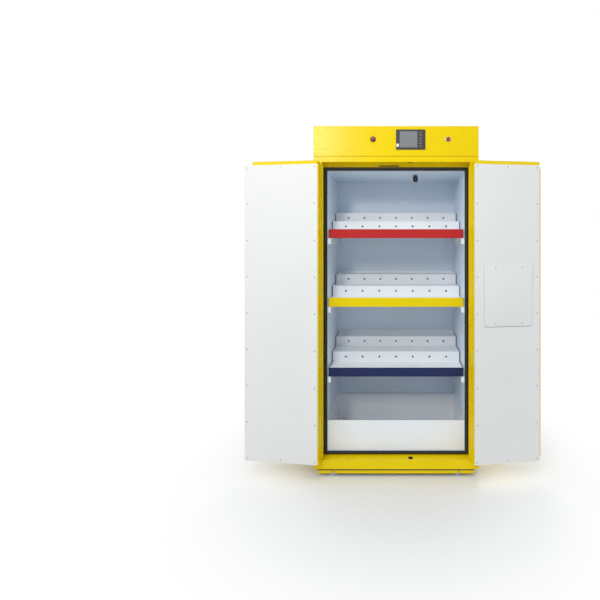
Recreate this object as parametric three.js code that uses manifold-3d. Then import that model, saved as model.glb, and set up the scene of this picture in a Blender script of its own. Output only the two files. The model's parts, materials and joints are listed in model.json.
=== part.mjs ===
// Two-door flammable safety cabinet on four small wheels, shown with both doors swung fully open.
// Millimetres, +Z up. x = 0 is the cabinet's middle plane, z = 0 the floor, -Y the front.

import * as THREE from 'three';
import { mergeVertices } from 'three/addons/utils/BufferGeometryUtils.js';
import Module from 'manifold-3d';

const wasm = await Module();
wasm.setup();

// Cabinet shell
const cabinetWidth = 900;
const cabinetDepth = 510;
const cabinetHeight = 1915;
const shellSheet = 1.5;
const fit = 0.3;
const overrun = 2;
const bodyBottom = 47;
const sillHeight = 49;
const sillReturn = 20;
const headerHeight = 30;
const housingHeight = 165;
const stileWidth = 46;
const rebateDepth = 60;
const rebateFlange = 18.5;
const backFlange = 25;
const mitreGap = 0.5;

// Plinth, wheels and their axles
const plinthBottom = 17;
const plinthSheet = 3;
const plinthSideInset = 24;
const plinthFrontInset = 12;
const wheelRadius = 22;
const wheelWidth = 20;
const wheelChamfer = 2;
const wheelSideInset = 105;
const wheelSetback = 33;
const wheelSides = 24;
const wheelSideGap = 0.6;
const axleRadius = 5;
const axleSides = 12;
const axleClearance = 0.35;
const axleHeadRadius = 8;
const axleHeadThickness = 5;
const axleHeadSides = 6;
const axleCollarRadius = 9;
const axleCollarWidth = 6;

// White inner box and the black seal round its mouth
const linerSheet = 1.2;
const linerSideGap = 20;
const linerBottomRise = 21;
const linerTopDrop = 39;
const linerDepth = 410;
const linerFlange = 14;
const sealWidth = 20;
const sealThickness = 6.8;
const sealBottomRise = 2;
const sealTopDrop = 14;

// Spill tray in the bottom of the inner box
const trayTop = 285;
const traySetback = 6;
const trayBackGap = 5;

// Stepped shelves, their coloured front strips and support rails
const shelfSideGap = 5.5;
const shelfFrontSetback = 15;
const shelfLipHeight = 50.4;
const shelfLipTopDepth = 8;
const shelfLipStand = 7;
const shelfTreadDepths = [140, 137, 115];
const shelfRiserHeight = 60;
const shelfBackLip = 15;
const shelfLevelShares = { bottom: 0.262, middle: 0.5135, top: 0.7605 };
const riserHoleRadius = 4.25;
const riserHoleMargin = 78.5;
const riserHoleCount = 7;
const riserHoleSides = 8;
const stripThickness = 1;
const railWidth = 17;
const railHeight = 34;
const railSheet = 1.5;
const railFrontSetback = 3;
const railLength = 382;

// Gas sensor under the ceiling of the inner box
const sensorRadius = 15.5;
const sensorLength = 43;
const sensorNeckRadius = 9;
const sensorNeckLength = 6;
const sensorX = 115;
const sensorSetback = 136;
const sensorSides = 16;

// Control housing on top, with its fascia
const displayX = 80;
const displayRise = 91;
const displayWidth = 160;
const displayHeight = 110;
const displayProud = 3;
const displayCaseInset = 6;
const displayCaseDepth = 40;
const screenWidth = 97;
const screenHeight = 88;
const screenLeftMargin = 19.5;
const screenRise = 1;
const screenRecess = 2;
const screenThickness = 1.5;
const panelDeviceRise = 93;
const lampX = -125;
const lampRadius = 15;
const lampHeight = 13;
const lampRimHeight = 3;
const lampStemRadius = 11;
const lampStemLength = 25;
const lampDomeSteps = 4;
const deviceSides = 16;
const holeClearance = 0.6;
const buttonSideInset = 166;
const buttonRadius = 10;
const buttonProud = 8;
const buttonLength = 20;
const buttonTravel = 4;
const bezelRadius = 15;
const bezelProud = 4;
const bezelWall = 2;
const bezelBackWall = 2;
const supplySideInset = 200;
const supplyWidth = 160;
const supplyDepth = 98;
const supplyHeight = 50;
const supplySetback = 180;
const supplyFoot = 12;
const supplyFootThickness = 2;
const inletSideInset = 150;
const inletRise = 50;
const inletFlangeWidth = 50;
const inletFlangeHeight = 28;
const inletFlangeThickness = 2;
const inletBodyWidth = 31;
const inletBodyHeight = 24;
const inletBodyDepth = 26;
const inletSocketWidth = 25;
const inletSocketHeight = 17;
const inletSocketDepth = 18;

// Continuous hinges
const hingeInset = 2;
const hingeStandoff = 5;
const hingeBottomMargin = 5;
const hingeTopMargin = 21;
const knuckleRadius = 4.5;
const knuckleBore = 3.1;
const hingePinRadius = 2.5;
const knuckleCount = 20;
const knuckleGap = 0.6;
const hingeSides = 8;
const leafThickness = 1.2;
const leafWidth = 30;
const leafClearance = 0.4;
const leafTabInset = 0.1;

// Doors
const doorGap = 4;
const doorDepth = 50;
const doorMeetingGap = 4;
const doorLipWidth = 30;
const doorCornerNotch = 20;
const doorHingeNotch = 6;
const doorOpenAngle = 187;
const panelThickness = 2;
const panelHingeMargin = 6;
const panelBottomMargin = 1;
const panelTopMargin = 18;
const leftPanelOverlap = 12;

// Flush pulls
const pullX = 75;
const pullZ = 1225;
const pullWidth = 50;
const pullHeight = 116;
const pullPlate = 1.5;
const pullCupWidth = 42;
const pullCupHeight = 108;
const pullCupDepth = 15.5;
const pullWall = 1.5;
const pullSlotWidth = 22;
const pullSlotHeight = 98;
const pullFrameDepth = 3;

// Lock plate, paddle, keys and bolts in the right door
const lockX = 160;
const lockZ = 1060;
const lockPlateWidth = 216;
const lockPlateHeight = 110;
const lockPlateThickness = 2;
const panSize = 93;
const panWall = 1.8;
const panDepth = 20;
const keyOffset = 67;
const barrelRadius = 11;
const barrelProud = 4;
const barrelDepth = 9;
const plugRadius = 6;
const plugClearance = 0.4;
const plugProud = 0.6;
const keySides = 12;
const bowWidth = 24;
const bowLength = 22;
const bowThickness = 2.5;
const bowCorner = 6;
const keyNeckWidth = 8;
const keyNeckLength = 3;
const paddleWidth = 83;
const paddleHeight = 49;
const paddleThickness = 3;
const paddleSink = 0.5;
const paddleTopGap = 3;
const paddlePivotRadius = 2;
const paddlePivotClearance = 0.6;
const paddlePivotDrop = 3;
const lugThickness = 2;
const lugEdge = 1;
const lugHeight = 15;
const lugHook = 3;
const notchClearance = 0.6;
const tongueDepth = 11;
const tongueThickness = 2.5;
const tongueWidth = 8;
const tongueLength = 30.5;
const spindleRadius = 3.5;
const boltX = 80;
const boltRadius = 4;
const boltDepth = 22.5;
const boltSides = 8;
const boltTipInset = 0.5;
const boltTipRadius = 2.5;
const boltTipLength = 5;
const boltHoleClearance = 0.6;
const boltThrow = 14;
const socketWidth = 23;
const socketDepth = 21;
const camRadius = 14;
const camThickness = 2.8;
const camPinRadius = 2.5;
const camPinLength = 4.8;
const yokeThickness = 3;
const yokeProng = 4;
const yokeClearance = 0.6;
const yokeGap = 1.2;
const yokeOverlap = 16;
const boltGapHalf = 20;
const coverFreeMargin = 42;
const coverHeight = 331;
const coverHingeMargin = 60;
const coverBottom = 832;
const coverThickness = 1.5;
const coverLap = 10;
const coverCorner = 8;
const coverCornerSteps = 3;

// Places worked out from the sizes above
const halfWidth = cabinetWidth / 2;
const jambX = halfWidth - stileWidth;
const sillTop = bodyBottom + sillHeight;
const bodyTop = cabinetHeight - housingHeight;
const headerBottom = bodyTop - headerHeight;
const linerHalfWidth = jambX - linerSideGap;
const linerBottom = sillTop + linerBottomRise;
const linerTop = headerBottom - linerTopDrop;
const shelfWidth = (linerHalfWidth - shelfSideGap) * 2;
const riserHolePitch = (shelfWidth - riserHoleMargin * 2) / (riserHoleCount - 1);
const wheelCentreX = halfWidth - wheelSideInset;
const doorBottom = sillTop + doorGap;
const doorTop = headerBottom - doorGap;
const hingeBottom = doorBottom + hingeBottomMargin;
const hingeTop = doorTop - hingeTopMargin;
const hingeX = jambX - hingeInset;
const overswing = THREE.MathUtils.degToRad(doorOpenAngle) - Math.PI;
const panelBack = doorDepth + fit + panelThickness;
const openReach = hingeStandoff + (hingeStandoff + panelBack) * Math.cos(overswing);
const frontY = -(cabinetDepth - openReach) / 2;
const backY = frontY + cabinetDepth;
const rebateY = frontY + rebateDepth;
const linerFrontY = rebateY + shellSheet + fit;
const linerBackY = rebateY + linerDepth;
const backFlangeY = backY - shellSheet - fit;
const housingBottom = bodyTop + fit;
const lipReach = hingeX - doorMeetingGap / 2;
const boxReach = lipReach - doorLipWidth;
const displayZ = bodyTop + displayRise;
const panelDeviceZ = bodyTop + panelDeviceRise;
const inletZ = bodyTop + inletRise;
const inletX = inletSideInset - halfWidth;
const supplyX = supplySideInset - halfWidth;
const buttonX = halfWidth - buttonSideInset;

// Turns a closed triangle mesh into a solid that can be cut and joined
function toSolid(geometry) {
  const bare = geometry.clone();
  bare.deleteAttribute('normal');
  bare.deleteAttribute('uv');
  const merged = mergeVertices(bare);
  const vertProperties = new Float32Array(merged.attributes.position.array);
  const triVerts = new Uint32Array(merged.index.array);
  return new wasm.Manifold(new wasm.Mesh({ numProp: 3, vertProperties, triVerts }));
}

function toGeometry(solid) {
  const { vertProperties, triVerts } = solid.getMesh();
  const geometry = new THREE.BufferGeometry();
  geometry.setAttribute('position', new THREE.BufferAttribute(new Float32Array(vertProperties), 3));
  geometry.setIndex(new THREE.BufferAttribute(new Uint32Array(triVerts), 1));
  const flat = geometry.toNonIndexed();
  flat.computeVertexNormals();
  return flat;
}

function join(...geometries) {
  return toGeometry(geometries.map(toSolid).reduce((whole, next) => whole.add(next)));
}

function cut(base, ...tools) {
  return toGeometry(tools.map(toSolid).reduce((rest, tool) => rest.subtract(tool), toSolid(base)));
}

// Moves each corner of a unit shape to its exact place, so that faces that meet share their numbers
function setCorners(geometry, place) {
  const { position } = geometry.attributes;
  const corner = new THREE.Vector3();
  for (let i = 0; i < position.count; i += 1) {
    place(corner.fromBufferAttribute(position, i));
    position.setXYZ(i, corner.x, corner.y, corner.z);
  }
  return geometry;
}

// A box between two corners, whichever way round each pair of values is given
function block(x0, x1, y0, y1, z0, z1) {
  const pick = (sign, a, b) => (sign > 0 ? Math.max(a, b) : Math.min(a, b));
  return setCorners(new THREE.BoxGeometry(), (corner) => corner.set(
    pick(corner.x, x0, x1), pick(corner.y, y0, y1), pick(corner.z, z0, z1),
  ));
}

// An outline carried straight along one axis; its points are (y, z), (x, z) or (x, y) pairs
function prism(axis, outline, from, to, holes = []) {
  const vectors = (points) => points.map(([a, b]) => new THREE.Vector2(a, b));
  const shape = new THREE.Shape(vectors(outline));
  holes.forEach((hole) => shape.holes.push(new THREE.Path(vectors(hole))));
  const geometry = new THREE.ExtrudeGeometry(shape, { depth: 1, bevelEnabled: false });
  const place = {
    x: ({ x, y, z }, corner) => corner.set(z > 0 ? to : from, x, y),
    y: ({ x, y, z }, corner) => corner.set(x, z > 0 ? from : to, y),
    z: ({ x, y, z }, corner) => corner.set(x, y, z > 0 ? to : from),
  }[axis];
  return setCorners(geometry, (corner) => place(corner.clone(), corner));
}

// A regular outline of straight sides round a centre
function circle(centreA, centreB, radius, sides) {
  return Array.from({ length: sides }, (_, i) => {
    const angle = ((i + 0.5) / sides) * 2 * Math.PI;
    return [centreA + radius * Math.cos(angle), centreB + radius * Math.sin(angle)];
  });
}

function rectangle(a0, a1, b0, b1) {
  return [[a0, b0], [a1, b0], [a1, b1], [a0, b1]];
}

// A rectangle whose corners are quarter rounds
function roundedRectangle(a0, a1, b0, b1, radius, steps) {
  const left = Math.min(a0, a1) + radius;
  const right = Math.max(a0, a1) - radius;
  const low = b0 + radius;
  const high = b1 - radius;
  const centres = [[right, high], [left, high], [left, low], [right, low]];
  return centres.flatMap(([a, b], corner) => Array.from({ length: steps + 1 }, (_, i) => {
    const angle = ((corner + i / steps) * Math.PI) / 2;
    return [a + radius * Math.cos(angle), b + radius * Math.sin(angle)];
  }));
}

// A line of points moved to its left by a distance, or to its right where that is negative
function offsetPath(path, distance) {
  const points = path.map(([a, b]) => new THREE.Vector2(a, b));
  const normals = points.slice(1).map((point, i) => {
    const along = point.clone().sub(points[i]).normalize();
    return new THREE.Vector2(-along.y, along.x);
  });
  return points.map((point, i) => {
    const before = normals[Math.max(i - 1, 0)];
    const after = normals[Math.min(i, normals.length - 1)];
    const mitre = before.clone().add(after).multiplyScalar(distance / (1 + before.dot(after)));
    return [point.x + mitre.x, point.y + mitre.y];
  });
}

// A bent sheet seen from its end: the path is its visible face, and each bend is mitred
function foldedSheet(path, thickness) {
  return [...path, ...offsetPath(path, thickness).reverse()];
}

// A profile of (radius, height) pairs turned round the x, y or z axis through a centre
function turned(axis, profile, sides, centre) {
  const points = profile.map(([radius, height]) => new THREE.Vector2(radius, height));
  const area = THREE.ShapeUtils.area(points);
  const geometry = new THREE.LatheGeometry(area < 0 ? points.reverse() : points, sides);
  if (axis === 'z') geometry.rotateX(Math.PI / 2);
  return geometry.translate(...centre);
}

function steel(color, metalness = 0.1, roughness = 0.45) {
  return new THREE.MeshStandardMaterial({ color, metalness, roughness });
}

const yellow = 0xf2d900;
const white = 0xe6e9ec;
const innerWhite = 0xc9d4de;
const stainless = 0xb4b6b8;
const chrome = 0xd8d8dc;
const zinc = 0xa8a9a4;

const cabinet = new THREE.Group();

function add(name, geometry, material, parent = cabinet) {
  const mesh = new THREE.Mesh(geometry, material);
  mesh.name = name;
  parent.add(mesh);
}

const sides = { left: -1, right: 1 };

// Side panels, each bent from one sheet: back flange, side, front stile, door jamb and seal flange
function sidePanel(side) {
  const path = [
    [side * (halfWidth - backFlange), backFlangeY],
    [side * halfWidth, backFlangeY],
    [side * halfWidth, frontY],
    [side * jambX, frontY],
    [side * jambX, rebateY],
    [side * (jambX - rebateFlange), rebateY],
  ];
  const panel = prism('z', foldedSheet(path, -side * shellSheet), bodyBottom, bodyTop);
  const mitreOutline = [
    [side * (jambX - overrun), sillTop],
    [side * jambX, sillTop],
    [side * (halfWidth - shellSheet), bodyBottom],
    [side * (halfWidth - shellSheet), bodyBottom - overrun],
    [side * (jambX - overrun), bodyBottom - overrun],
  ];
  return cut(panel, prism('y', mitreOutline, frontY - overrun, frontY + shellSheet + fit));
}

for (const [name, side] of Object.entries(sides)) {
  add(`${name}_side_panel`, sidePanel(side), steel(yellow));
}

const panelHalfWidth = halfWidth - shellSheet - fit;
const railHalfWidth = jambX - fit;
add('back_panel', block(
  -halfWidth, halfWidth,
  backY - shellSheet, backY,
  bodyBottom, bodyTop,
), steel(yellow));

// Floor and roof of the outer shell, behind the rebate
for (const [name, low] of [['floor_panel', bodyBottom], ['roof_panel', bodyTop - shellSheet]]) {
  add(name, block(
    -panelHalfWidth, panelHalfWidth,
    linerFrontY, backFlangeY - shellSheet - fit,
    low, low + shellSheet,
  ), steel(yellow));
}

// The sockets in sill and header that the door bolts drop into
const socketY = frontY + boltDepth;
const boltSocket = (z) => block(
  boltX - socketWidth / 2, boltX + socketWidth / 2,
  socketY - socketDepth / 2, socketY + socketDepth / 2,
  z - overrun, z + overrun,
);

// Header and sill rails: bent channels between the jambs, the sill mitred into both stiles, each
// relieved at its ends where the side panels' seal flanges pass
const flangeReliefs = Object.values(sides).map((side) => block(
  side * (jambX - rebateFlange - fit), side * (jambX + overrun),
  rebateY - fit, rebateY + shellSheet + overrun,
  bodyBottom - overrun, bodyTop + overrun,
));
const headerPath = [
  [rebateY, bodyTop],
  [frontY, bodyTop],
  [frontY, headerBottom],
  [rebateY, headerBottom],
  [rebateY, linerTop + shellSheet],
];
const headerRail = prism('x', foldedSheet(headerPath, shellSheet), -railHalfWidth, railHalfWidth);
add('header_rail', cut(headerRail, boltSocket(headerBottom), ...flangeReliefs), steel(yellow));

const sillPath = [
  [frontY + sillReturn, bodyBottom],
  [frontY, bodyBottom],
  [frontY, sillTop],
  [rebateY, sillTop],
  [rebateY, linerBottom - shellSheet],
];
const sillRail = prism('x', foldedSheet(sillPath, -shellSheet), -railHalfWidth, railHalfWidth);
const sillMitre = [
  [-(halfWidth - shellSheet - mitreGap), bodyBottom],
  [halfWidth - shellSheet - mitreGap, bodyBottom],
  [railHalfWidth, sillTop - mitreGap],
  [-railHalfWidth, sillTop - mitreGap],
];
const sillFront = prism('y', sillMitre, frontY, frontY + shellSheet);
add('sill_rail', cut(join(sillRail, sillFront), boltSocket(sillTop), ...flangeReliefs), steel(yellow));

// Plinth frame under the body, open at top and bottom
const plinthHalfWidth = halfWidth - plinthSideInset;
const plinthFrontY = frontY + plinthFrontInset;
const plinthBackY = backY - plinthFrontInset;
const axleHoles = Object.values(sides).map((side) => prism(
  'y', circle(side * wheelCentreX, wheelRadius, axleRadius + axleClearance, axleSides),
  plinthFrontY - overrun, plinthBackY + overrun,
));
const plinthRing = cut(
  block(-plinthHalfWidth, plinthHalfWidth, plinthFrontY, plinthBackY, plinthBottom, bodyBottom - fit),
  block(
    -plinthHalfWidth + plinthSheet, plinthHalfWidth - plinthSheet,
    plinthFrontY + plinthSheet, plinthBackY - plinthSheet,
    plinthBottom - overrun, bodyBottom + overrun,
  ),
  ...axleHoles,
);
add('plinth', plinthRing, steel(yellow));

// Axles run front to back, with a hexagon head at each end and a collar either side of each wheel
const wheelYs = { front: frontY + wheelSetback, back: backY - wheelSetback };
for (const [name, side] of Object.entries(sides)) {
  const x = side * wheelCentreX;
  const bar = (radius, count, from, to) => prism('y', circle(x, wheelRadius, radius, count), from, to);
  const frontHead = plinthFrontY - fit;
  const backHead = plinthBackY + fit;
  const collars = Object.values(wheelYs).flatMap((y) => [-1, 1].map((end) => {
    const inner = y + end * (wheelWidth / 2 + wheelSideGap);
    const outer = inner + end * axleCollarWidth;
    return bar(axleCollarRadius, axleSides, Math.min(inner, outer), Math.max(inner, outer));
  }));
  add(`${name}_axle`, join(
    bar(axleRadius, axleSides, frontHead - axleHeadThickness, backHead + axleHeadThickness),
    bar(axleHeadRadius, axleHeadSides, frontHead - axleHeadThickness, frontHead),
    bar(axleHeadRadius, axleHeadSides, backHead, backHead + axleHeadThickness),
    ...collars,
  ), steel(zinc, 0.8, 0.4));

  for (const [end, y] of Object.entries(wheelYs)) {
    const tyre = turned('y', [
      [0, -wheelWidth / 2],
      [wheelRadius - wheelChamfer, -wheelWidth / 2],
      [wheelRadius, -wheelWidth / 2 + wheelChamfer],
      [wheelRadius, wheelWidth / 2 - wheelChamfer],
      [wheelRadius - wheelChamfer, wheelWidth / 2],
      [0, wheelWidth / 2],
    ], wheelSides, [x, y, wheelRadius]);
    const bore = prism(
      'y', circle(x, wheelRadius, axleRadius + axleClearance, axleSides),
      y - wheelWidth, y + wheelWidth,
    );
    add(`${end}_${name}_wheel`, cut(tyre, bore), steel(0xb9bdc2, 0, 0.5));
  }
}

// White inner box, open at the front, with a flange behind the body's seal flange
const linerOuter = linerHalfWidth + linerSheet;
const linerFlangeHalf = linerOuter + linerFlange;
const linerBox = join(
  block(
    -linerOuter, linerOuter,
    linerFrontY, linerBackY + linerSheet,
    linerBottom - linerSheet, linerTop + linerSheet,
  ),
  block(
    -linerFlangeHalf, linerFlangeHalf,
    linerFrontY, linerFrontY + linerSheet,
    linerBottom - linerFlange, linerTop + linerFlange,
  ),
);
add('inner_liner', cut(linerBox, block(
  -linerHalfWidth, linerHalfWidth,
  linerFrontY - overrun, linerBackY,
  linerBottom, linerTop,
)), steel(innerWhite, 0, 0.4));

// Seal ring on the front of the seal flange
const sealOuter = jambX - fit;
const sealLow = sillTop + sealBottomRise;
const sealHigh = headerBottom - sealTopDrop;
const sealBackY = rebateY - fit;
add('door_seal', prism(
  'y', rectangle(-sealOuter, sealOuter, sealLow, sealHigh),
  sealBackY - sealThickness, sealBackY,
  [rectangle(-sealOuter + sealWidth, sealOuter - sealWidth, sealLow + sealWidth, sealHigh - sealWidth)],
), steel(0x2b2d30, 0, 0.8));

// Spill tray: a high-fronted open box on the floor of the inner box
const trayHalfWidth = linerHalfWidth - fit;
const trayFrontY = rebateY + traySetback;
const trayBackY = linerBackY - trayBackGap;
add('spill_tray', cut(
  block(-trayHalfWidth, trayHalfWidth, trayFrontY, trayBackY, linerBottom + fit, trayTop),
  block(
    -trayHalfWidth + linerSheet, trayHalfWidth - linerSheet,
    trayFrontY + linerSheet, trayBackY - linerSheet,
    linerBottom + fit + linerSheet, trayTop + overrun,
  ),
), steel(white, 0, 0.4));

// Stepped shelves: a stepped block hollowed from below and behind, which leaves the bent sheet with
// a cheek at each end, and two rows of holes in the risers
const shelfFrontY = rebateY + shelfFrontSetback;
function shelf(lipBottom) {
  const lipTop = lipBottom + shelfLipHeight;
  const top = [
    [shelfFrontY, lipTop],
    [shelfFrontY + shelfLipTopDepth, lipTop],
    [shelfFrontY + shelfLipTopDepth, lipTop - shelfLipStand],
  ];
  const holes = [];
  let y = shelfFrontY;
  let z = lipTop - shelfLipStand;
  for (const depth of shelfTreadDepths) {
    y += depth;
    top.push([y, z]);
    if (depth === shelfTreadDepths.at(-1)) break;
    for (let i = 0; i < riserHoleCount; i += 1) {
      const x = (i - (riserHoleCount - 1) / 2) * riserHolePitch;
      const outline = circle(x, z + shelfRiserHeight / 2, riserHoleRadius, riserHoleSides);
      holes.push(prism('y', outline, y - overrun, y + overrun));
    }
    z += shelfRiserHeight;
    top.push([y, z]);
  }
  const half = shelfWidth / 2;
  const outside = [
    [shelfFrontY, lipBottom],
    ...top,
    [y, z + shelfBackLip],
    [y + linerSheet, z + shelfBackLip],
    [y + linerSheet, lipBottom],
  ];
  const under = offsetPath([
    [shelfFrontY, lipBottom - overrun],
    ...top.slice(0, -1),
    [y + overrun, z],
  ], -linerSheet);
  const hollow = [...under, [y + overrun, lipBottom - overrun]];
  return cut(
    prism('x', outside, -half, half),
    prism('x', hollow, -half + linerSheet, half - linerSheet),
    ...holes,
  );
}

const stripColours = { bottom: 0x262b55, middle: 0xe8d400, top: 0xbe2a2c };
const stripNames = { bottom: 'blue_shelf_strip', middle: 'yellow_shelf_strip', top: 'red_shelf_strip' };
for (const [level, share] of Object.entries(shelfLevelShares)) {
  const lipBottom = linerBottom + (linerTop - linerBottom) * share;
  add(`${level}_shelf`, shelf(lipBottom), steel(0xedf0f5, 0, 0.4));
  add(stripNames[level], block(
    -shelfWidth / 2, shelfWidth / 2,
    shelfFrontY - fit - stripThickness, shelfFrontY - fit,
    lipBottom, lipBottom + shelfLipHeight,
  ), steel(stripColours[level], 0, 0.4));

  for (const [name, side] of Object.entries(sides)) {
    const wall = side * (linerHalfWidth - fit);
    const top = lipBottom - fit;
    const angle = foldedSheet([
      [wall - side * railWidth, top],
      [wall, top],
      [wall, top - railHeight],
    ], -side * railSheet);
    const start = shelfFrontY + railFrontSetback;
    add(`${name}_${level}_shelf_rail`, prism('y', angle, start, start + railLength), steel(white, 0, 0.4));
  }
}

// Gas sensor hanging from the ceiling of the inner box
const sensorTop = linerTop - fit;
add('gas_sensor', turned('z', [
  [0, -sensorLength],
  [sensorRadius, -sensorLength],
  [sensorRadius, -sensorNeckLength],
  [sensorNeckRadius, -sensorNeckLength],
  [sensorNeckRadius, 0],
  [0, 0],
], sensorSides, [sensorX, rebateY + sensorSetback, sensorTop]), steel(0x303236, 0, 0.6));

// Control housing: top, sides and back in one folded box, open at the front and below
const inletHole = block(
  inletX - inletBodyWidth / 2 - fit, inletX + inletBodyWidth / 2 + fit,
  backY - shellSheet - overrun, backY + overrun,
  inletZ - inletBodyHeight / 2 - fit, inletZ + inletBodyHeight / 2 + fit,
);
add('top_housing', cut(
  block(-halfWidth, halfWidth, frontY + shellSheet + fit, backY, housingBottom, cabinetHeight),
  block(
    -halfWidth + shellSheet, halfWidth - shellSheet,
    frontY - overrun, backY - shellSheet,
    housingBottom - overrun, cabinetHeight - shellSheet,
  ),
  inletHole,
), steel(yellow));

// Fascia with its cut-outs for the display, the lamp and the push button
const displayLeft = displayX - displayWidth / 2;
const displayRight = displayX + displayWidth / 2;
const displayLow = displayZ - displayHeight / 2;
const displayHigh = displayZ + displayHeight / 2;
const bezelBore = buttonRadius + fit * 2;
const bezelBarrel = bezelBore + bezelWall;
add('fascia_panel', prism(
  'y', rectangle(-halfWidth, halfWidth, housingBottom, cabinetHeight),
  frontY, frontY + shellSheet,
  [
    rectangle(
      displayLeft + displayCaseInset - fit, displayRight - displayCaseInset + fit,
      displayLow + displayCaseInset - fit, displayHigh - displayCaseInset + fit,
    ),
    circle(lampX, panelDeviceZ, lampStemRadius + holeClearance, deviceSides),
    circle(buttonX, panelDeviceZ, bezelBarrel + holeClearance, deviceSides),
  ],
), steel(yellow));

// Display unit: a bezel in front of the fascia on a case behind it, and the glass set into the bezel
const screenLeft = displayLeft + screenLeftMargin;
const screenCentreZ = displayZ + screenRise;
const screenBackY = frontY - displayProud + screenRecess;
const screenRecessOutline = rectangle(
  screenLeft, screenLeft + screenWidth,
  screenCentreZ - screenHeight / 2, screenCentreZ + screenHeight / 2,
);
add('display_housing', cut(
  join(
    block(displayLeft, displayRight, frontY - displayProud, frontY - fit, displayLow, displayHigh),
    block(
      displayLeft + displayCaseInset, displayRight - displayCaseInset,
      frontY - displayProud / 2, frontY + displayCaseDepth,
      displayLow + displayCaseInset, displayHigh - displayCaseInset,
    ),
  ),
  prism('y', screenRecessOutline, frontY - displayProud - overrun, screenBackY),
), steel(0x34373b, 0, 0.5));
add('display_screen', block(
  screenLeft + fit, screenLeft + screenWidth - fit,
  screenBackY - fit - screenThickness, screenBackY - fit,
  screenCentreZ - screenHeight / 2 + fit, screenCentreZ + screenHeight / 2 - fit,
), steel(0x4c5a68, 0, 0.15));

// Alarm lamp: a domed lens whose stem passes through the fascia
const domeProfile = Array.from({ length: lampDomeSteps + 1 }, (_, i) => {
  const angle = (i / lampDomeSteps) * (Math.PI / 2);
  const dome = lampHeight - lampRimHeight;
  return [lampRadius * Math.cos(angle), -(fit + lampRimHeight + dome * Math.sin(angle))];
});
domeProfile[lampDomeSteps][0] = 0;
add('alarm_lamp', turned('y', [
  [0, lampStemLength],
  [lampStemRadius, lampStemLength],
  [lampStemRadius, -fit],
  [lampRadius, -fit],
  ...domeProfile,
], deviceSides, [lampX, frontY, panelDeviceZ]), steel(0x7a1f1c, 0, 0.25));

// Push button in its chromed bezel, which is a cup through the fascia
const bezelDepth = buttonLength - buttonProud + buttonTravel * 2;
add('button_bezel', turned('y', [
  [0, bezelDepth],
  [bezelBore, bezelDepth],
  [bezelBore, -bezelProud],
  [bezelRadius, -bezelProud],
  [bezelRadius, -fit],
  [bezelBarrel, -fit],
  [bezelBarrel, bezelDepth + bezelBackWall],
  [0, bezelDepth + bezelBackWall],
], deviceSides, [buttonX, frontY, panelDeviceZ]), steel(chrome, 1, 0.15));
add('red_button', turned('y', [
  [0, -buttonProud],
  [buttonRadius, -buttonProud],
  [buttonRadius, buttonLength - buttonProud],
  [0, buttonLength - buttonProud],
], deviceSides, [buttonX, frontY, panelDeviceZ]), steel(0xb0221f, 0, 0.35));

// Power supply on the roof panel, with a mounting foot at each end
const supplyBase = bodyTop + fit;
const supplyY = frontY + supplySetback;
add('power_supply', join(
  block(
    supplyX - supplyWidth / 2, supplyX + supplyWidth / 2,
    supplyY, supplyY + supplyDepth,
    supplyBase, supplyBase + supplyHeight,
  ),
  block(
    supplyX - supplyWidth / 2 - supplyFoot, supplyX + supplyWidth / 2 + supplyFoot,
    supplyY, supplyY + supplyDepth,
    supplyBase, supplyBase + supplyFootThickness,
  ),
), steel(0xa9abad, 0.6, 0.5));

// Mains inlet in the back of the control housing
add('mains_inlet', cut(
  join(
    block(
      inletX - inletFlangeWidth / 2, inletX + inletFlangeWidth / 2,
      backY + fit, backY + fit + inletFlangeThickness,
      inletZ - inletFlangeHeight / 2, inletZ + inletFlangeHeight / 2,
    ),
    block(
      inletX - inletBodyWidth / 2, inletX + inletBodyWidth / 2,
      backY + inletFlangeThickness - inletBodyDepth, backY + inletFlangeThickness,
      inletZ - inletBodyHeight / 2, inletZ + inletBodyHeight / 2,
    ),
  ),
  block(
    inletX - inletSocketWidth / 2, inletX + inletSocketWidth / 2,
    backY + inletFlangeThickness - inletSocketDepth, backY + inletFlangeThickness + overrun,
    inletZ - inletSocketHeight / 2, inletZ + inletSocketHeight / 2,
  ),
), steel(0x1e1f21, 0, 0.6));

// Each door is built closed in a group whose origin is the hinge axis, and the group is then turned open.
// A reach is measured from the axis towards the door's free edge, a depth inwards from the outer skin.
function doorSpace(side) {
  const x = (reach) => -side * reach;
  const y = (depth) => hingeStandoff + depth;
  const box = (reach0, reach1, depth0, depth1, z0, z1) => block(
    x(reach0), x(reach1), y(depth0), y(depth1), z0, z1,
  );
  const bar = (reach, radius, count, depth0, depth1, z) => prism(
    'y', circle(x(reach), z, radius, count), y(depth0), y(depth1),
  );
  return { x, y, box, bar };
}

// One leaf of a continuous hinge with every second knuckle; reach is where the leaf starts from the axis
function hingeLeaf(side, reach, firstKnuckle) {
  const { x } = doorSpace(side);
  const pitch = (hingeTop - hingeBottom) / knuckleCount;
  const leaf = [x(reach), x(reach + leafThickness)];
  const tab = [x(reach + leafTabInset), x(reach + leafThickness - leafTabInset)];
  const leafStart = knuckleRadius + fit;
  const pieces = [prism('z', rectangle(...leaf, leafStart, leafStart + leafWidth), hingeBottom, hingeTop)];
  for (let i = firstKnuckle; i < knuckleCount; i += 2) {
    const low = hingeBottom + i * pitch + knuckleGap / 2;
    const high = low + pitch - knuckleGap;
    pieces.push(prism('z', circle(0, 0, knuckleRadius, hingeSides), low, high));
    pieces.push(prism('z', rectangle(...tab, knuckleBore, leafStart + fit), low, high));
  }
  const bore = prism(
    'z', circle(0, 0, knuckleBore, hingeSides), hingeBottom - overrun, hingeTop + overrun,
  );
  return cut(join(...pieces), bore);
}

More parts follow.
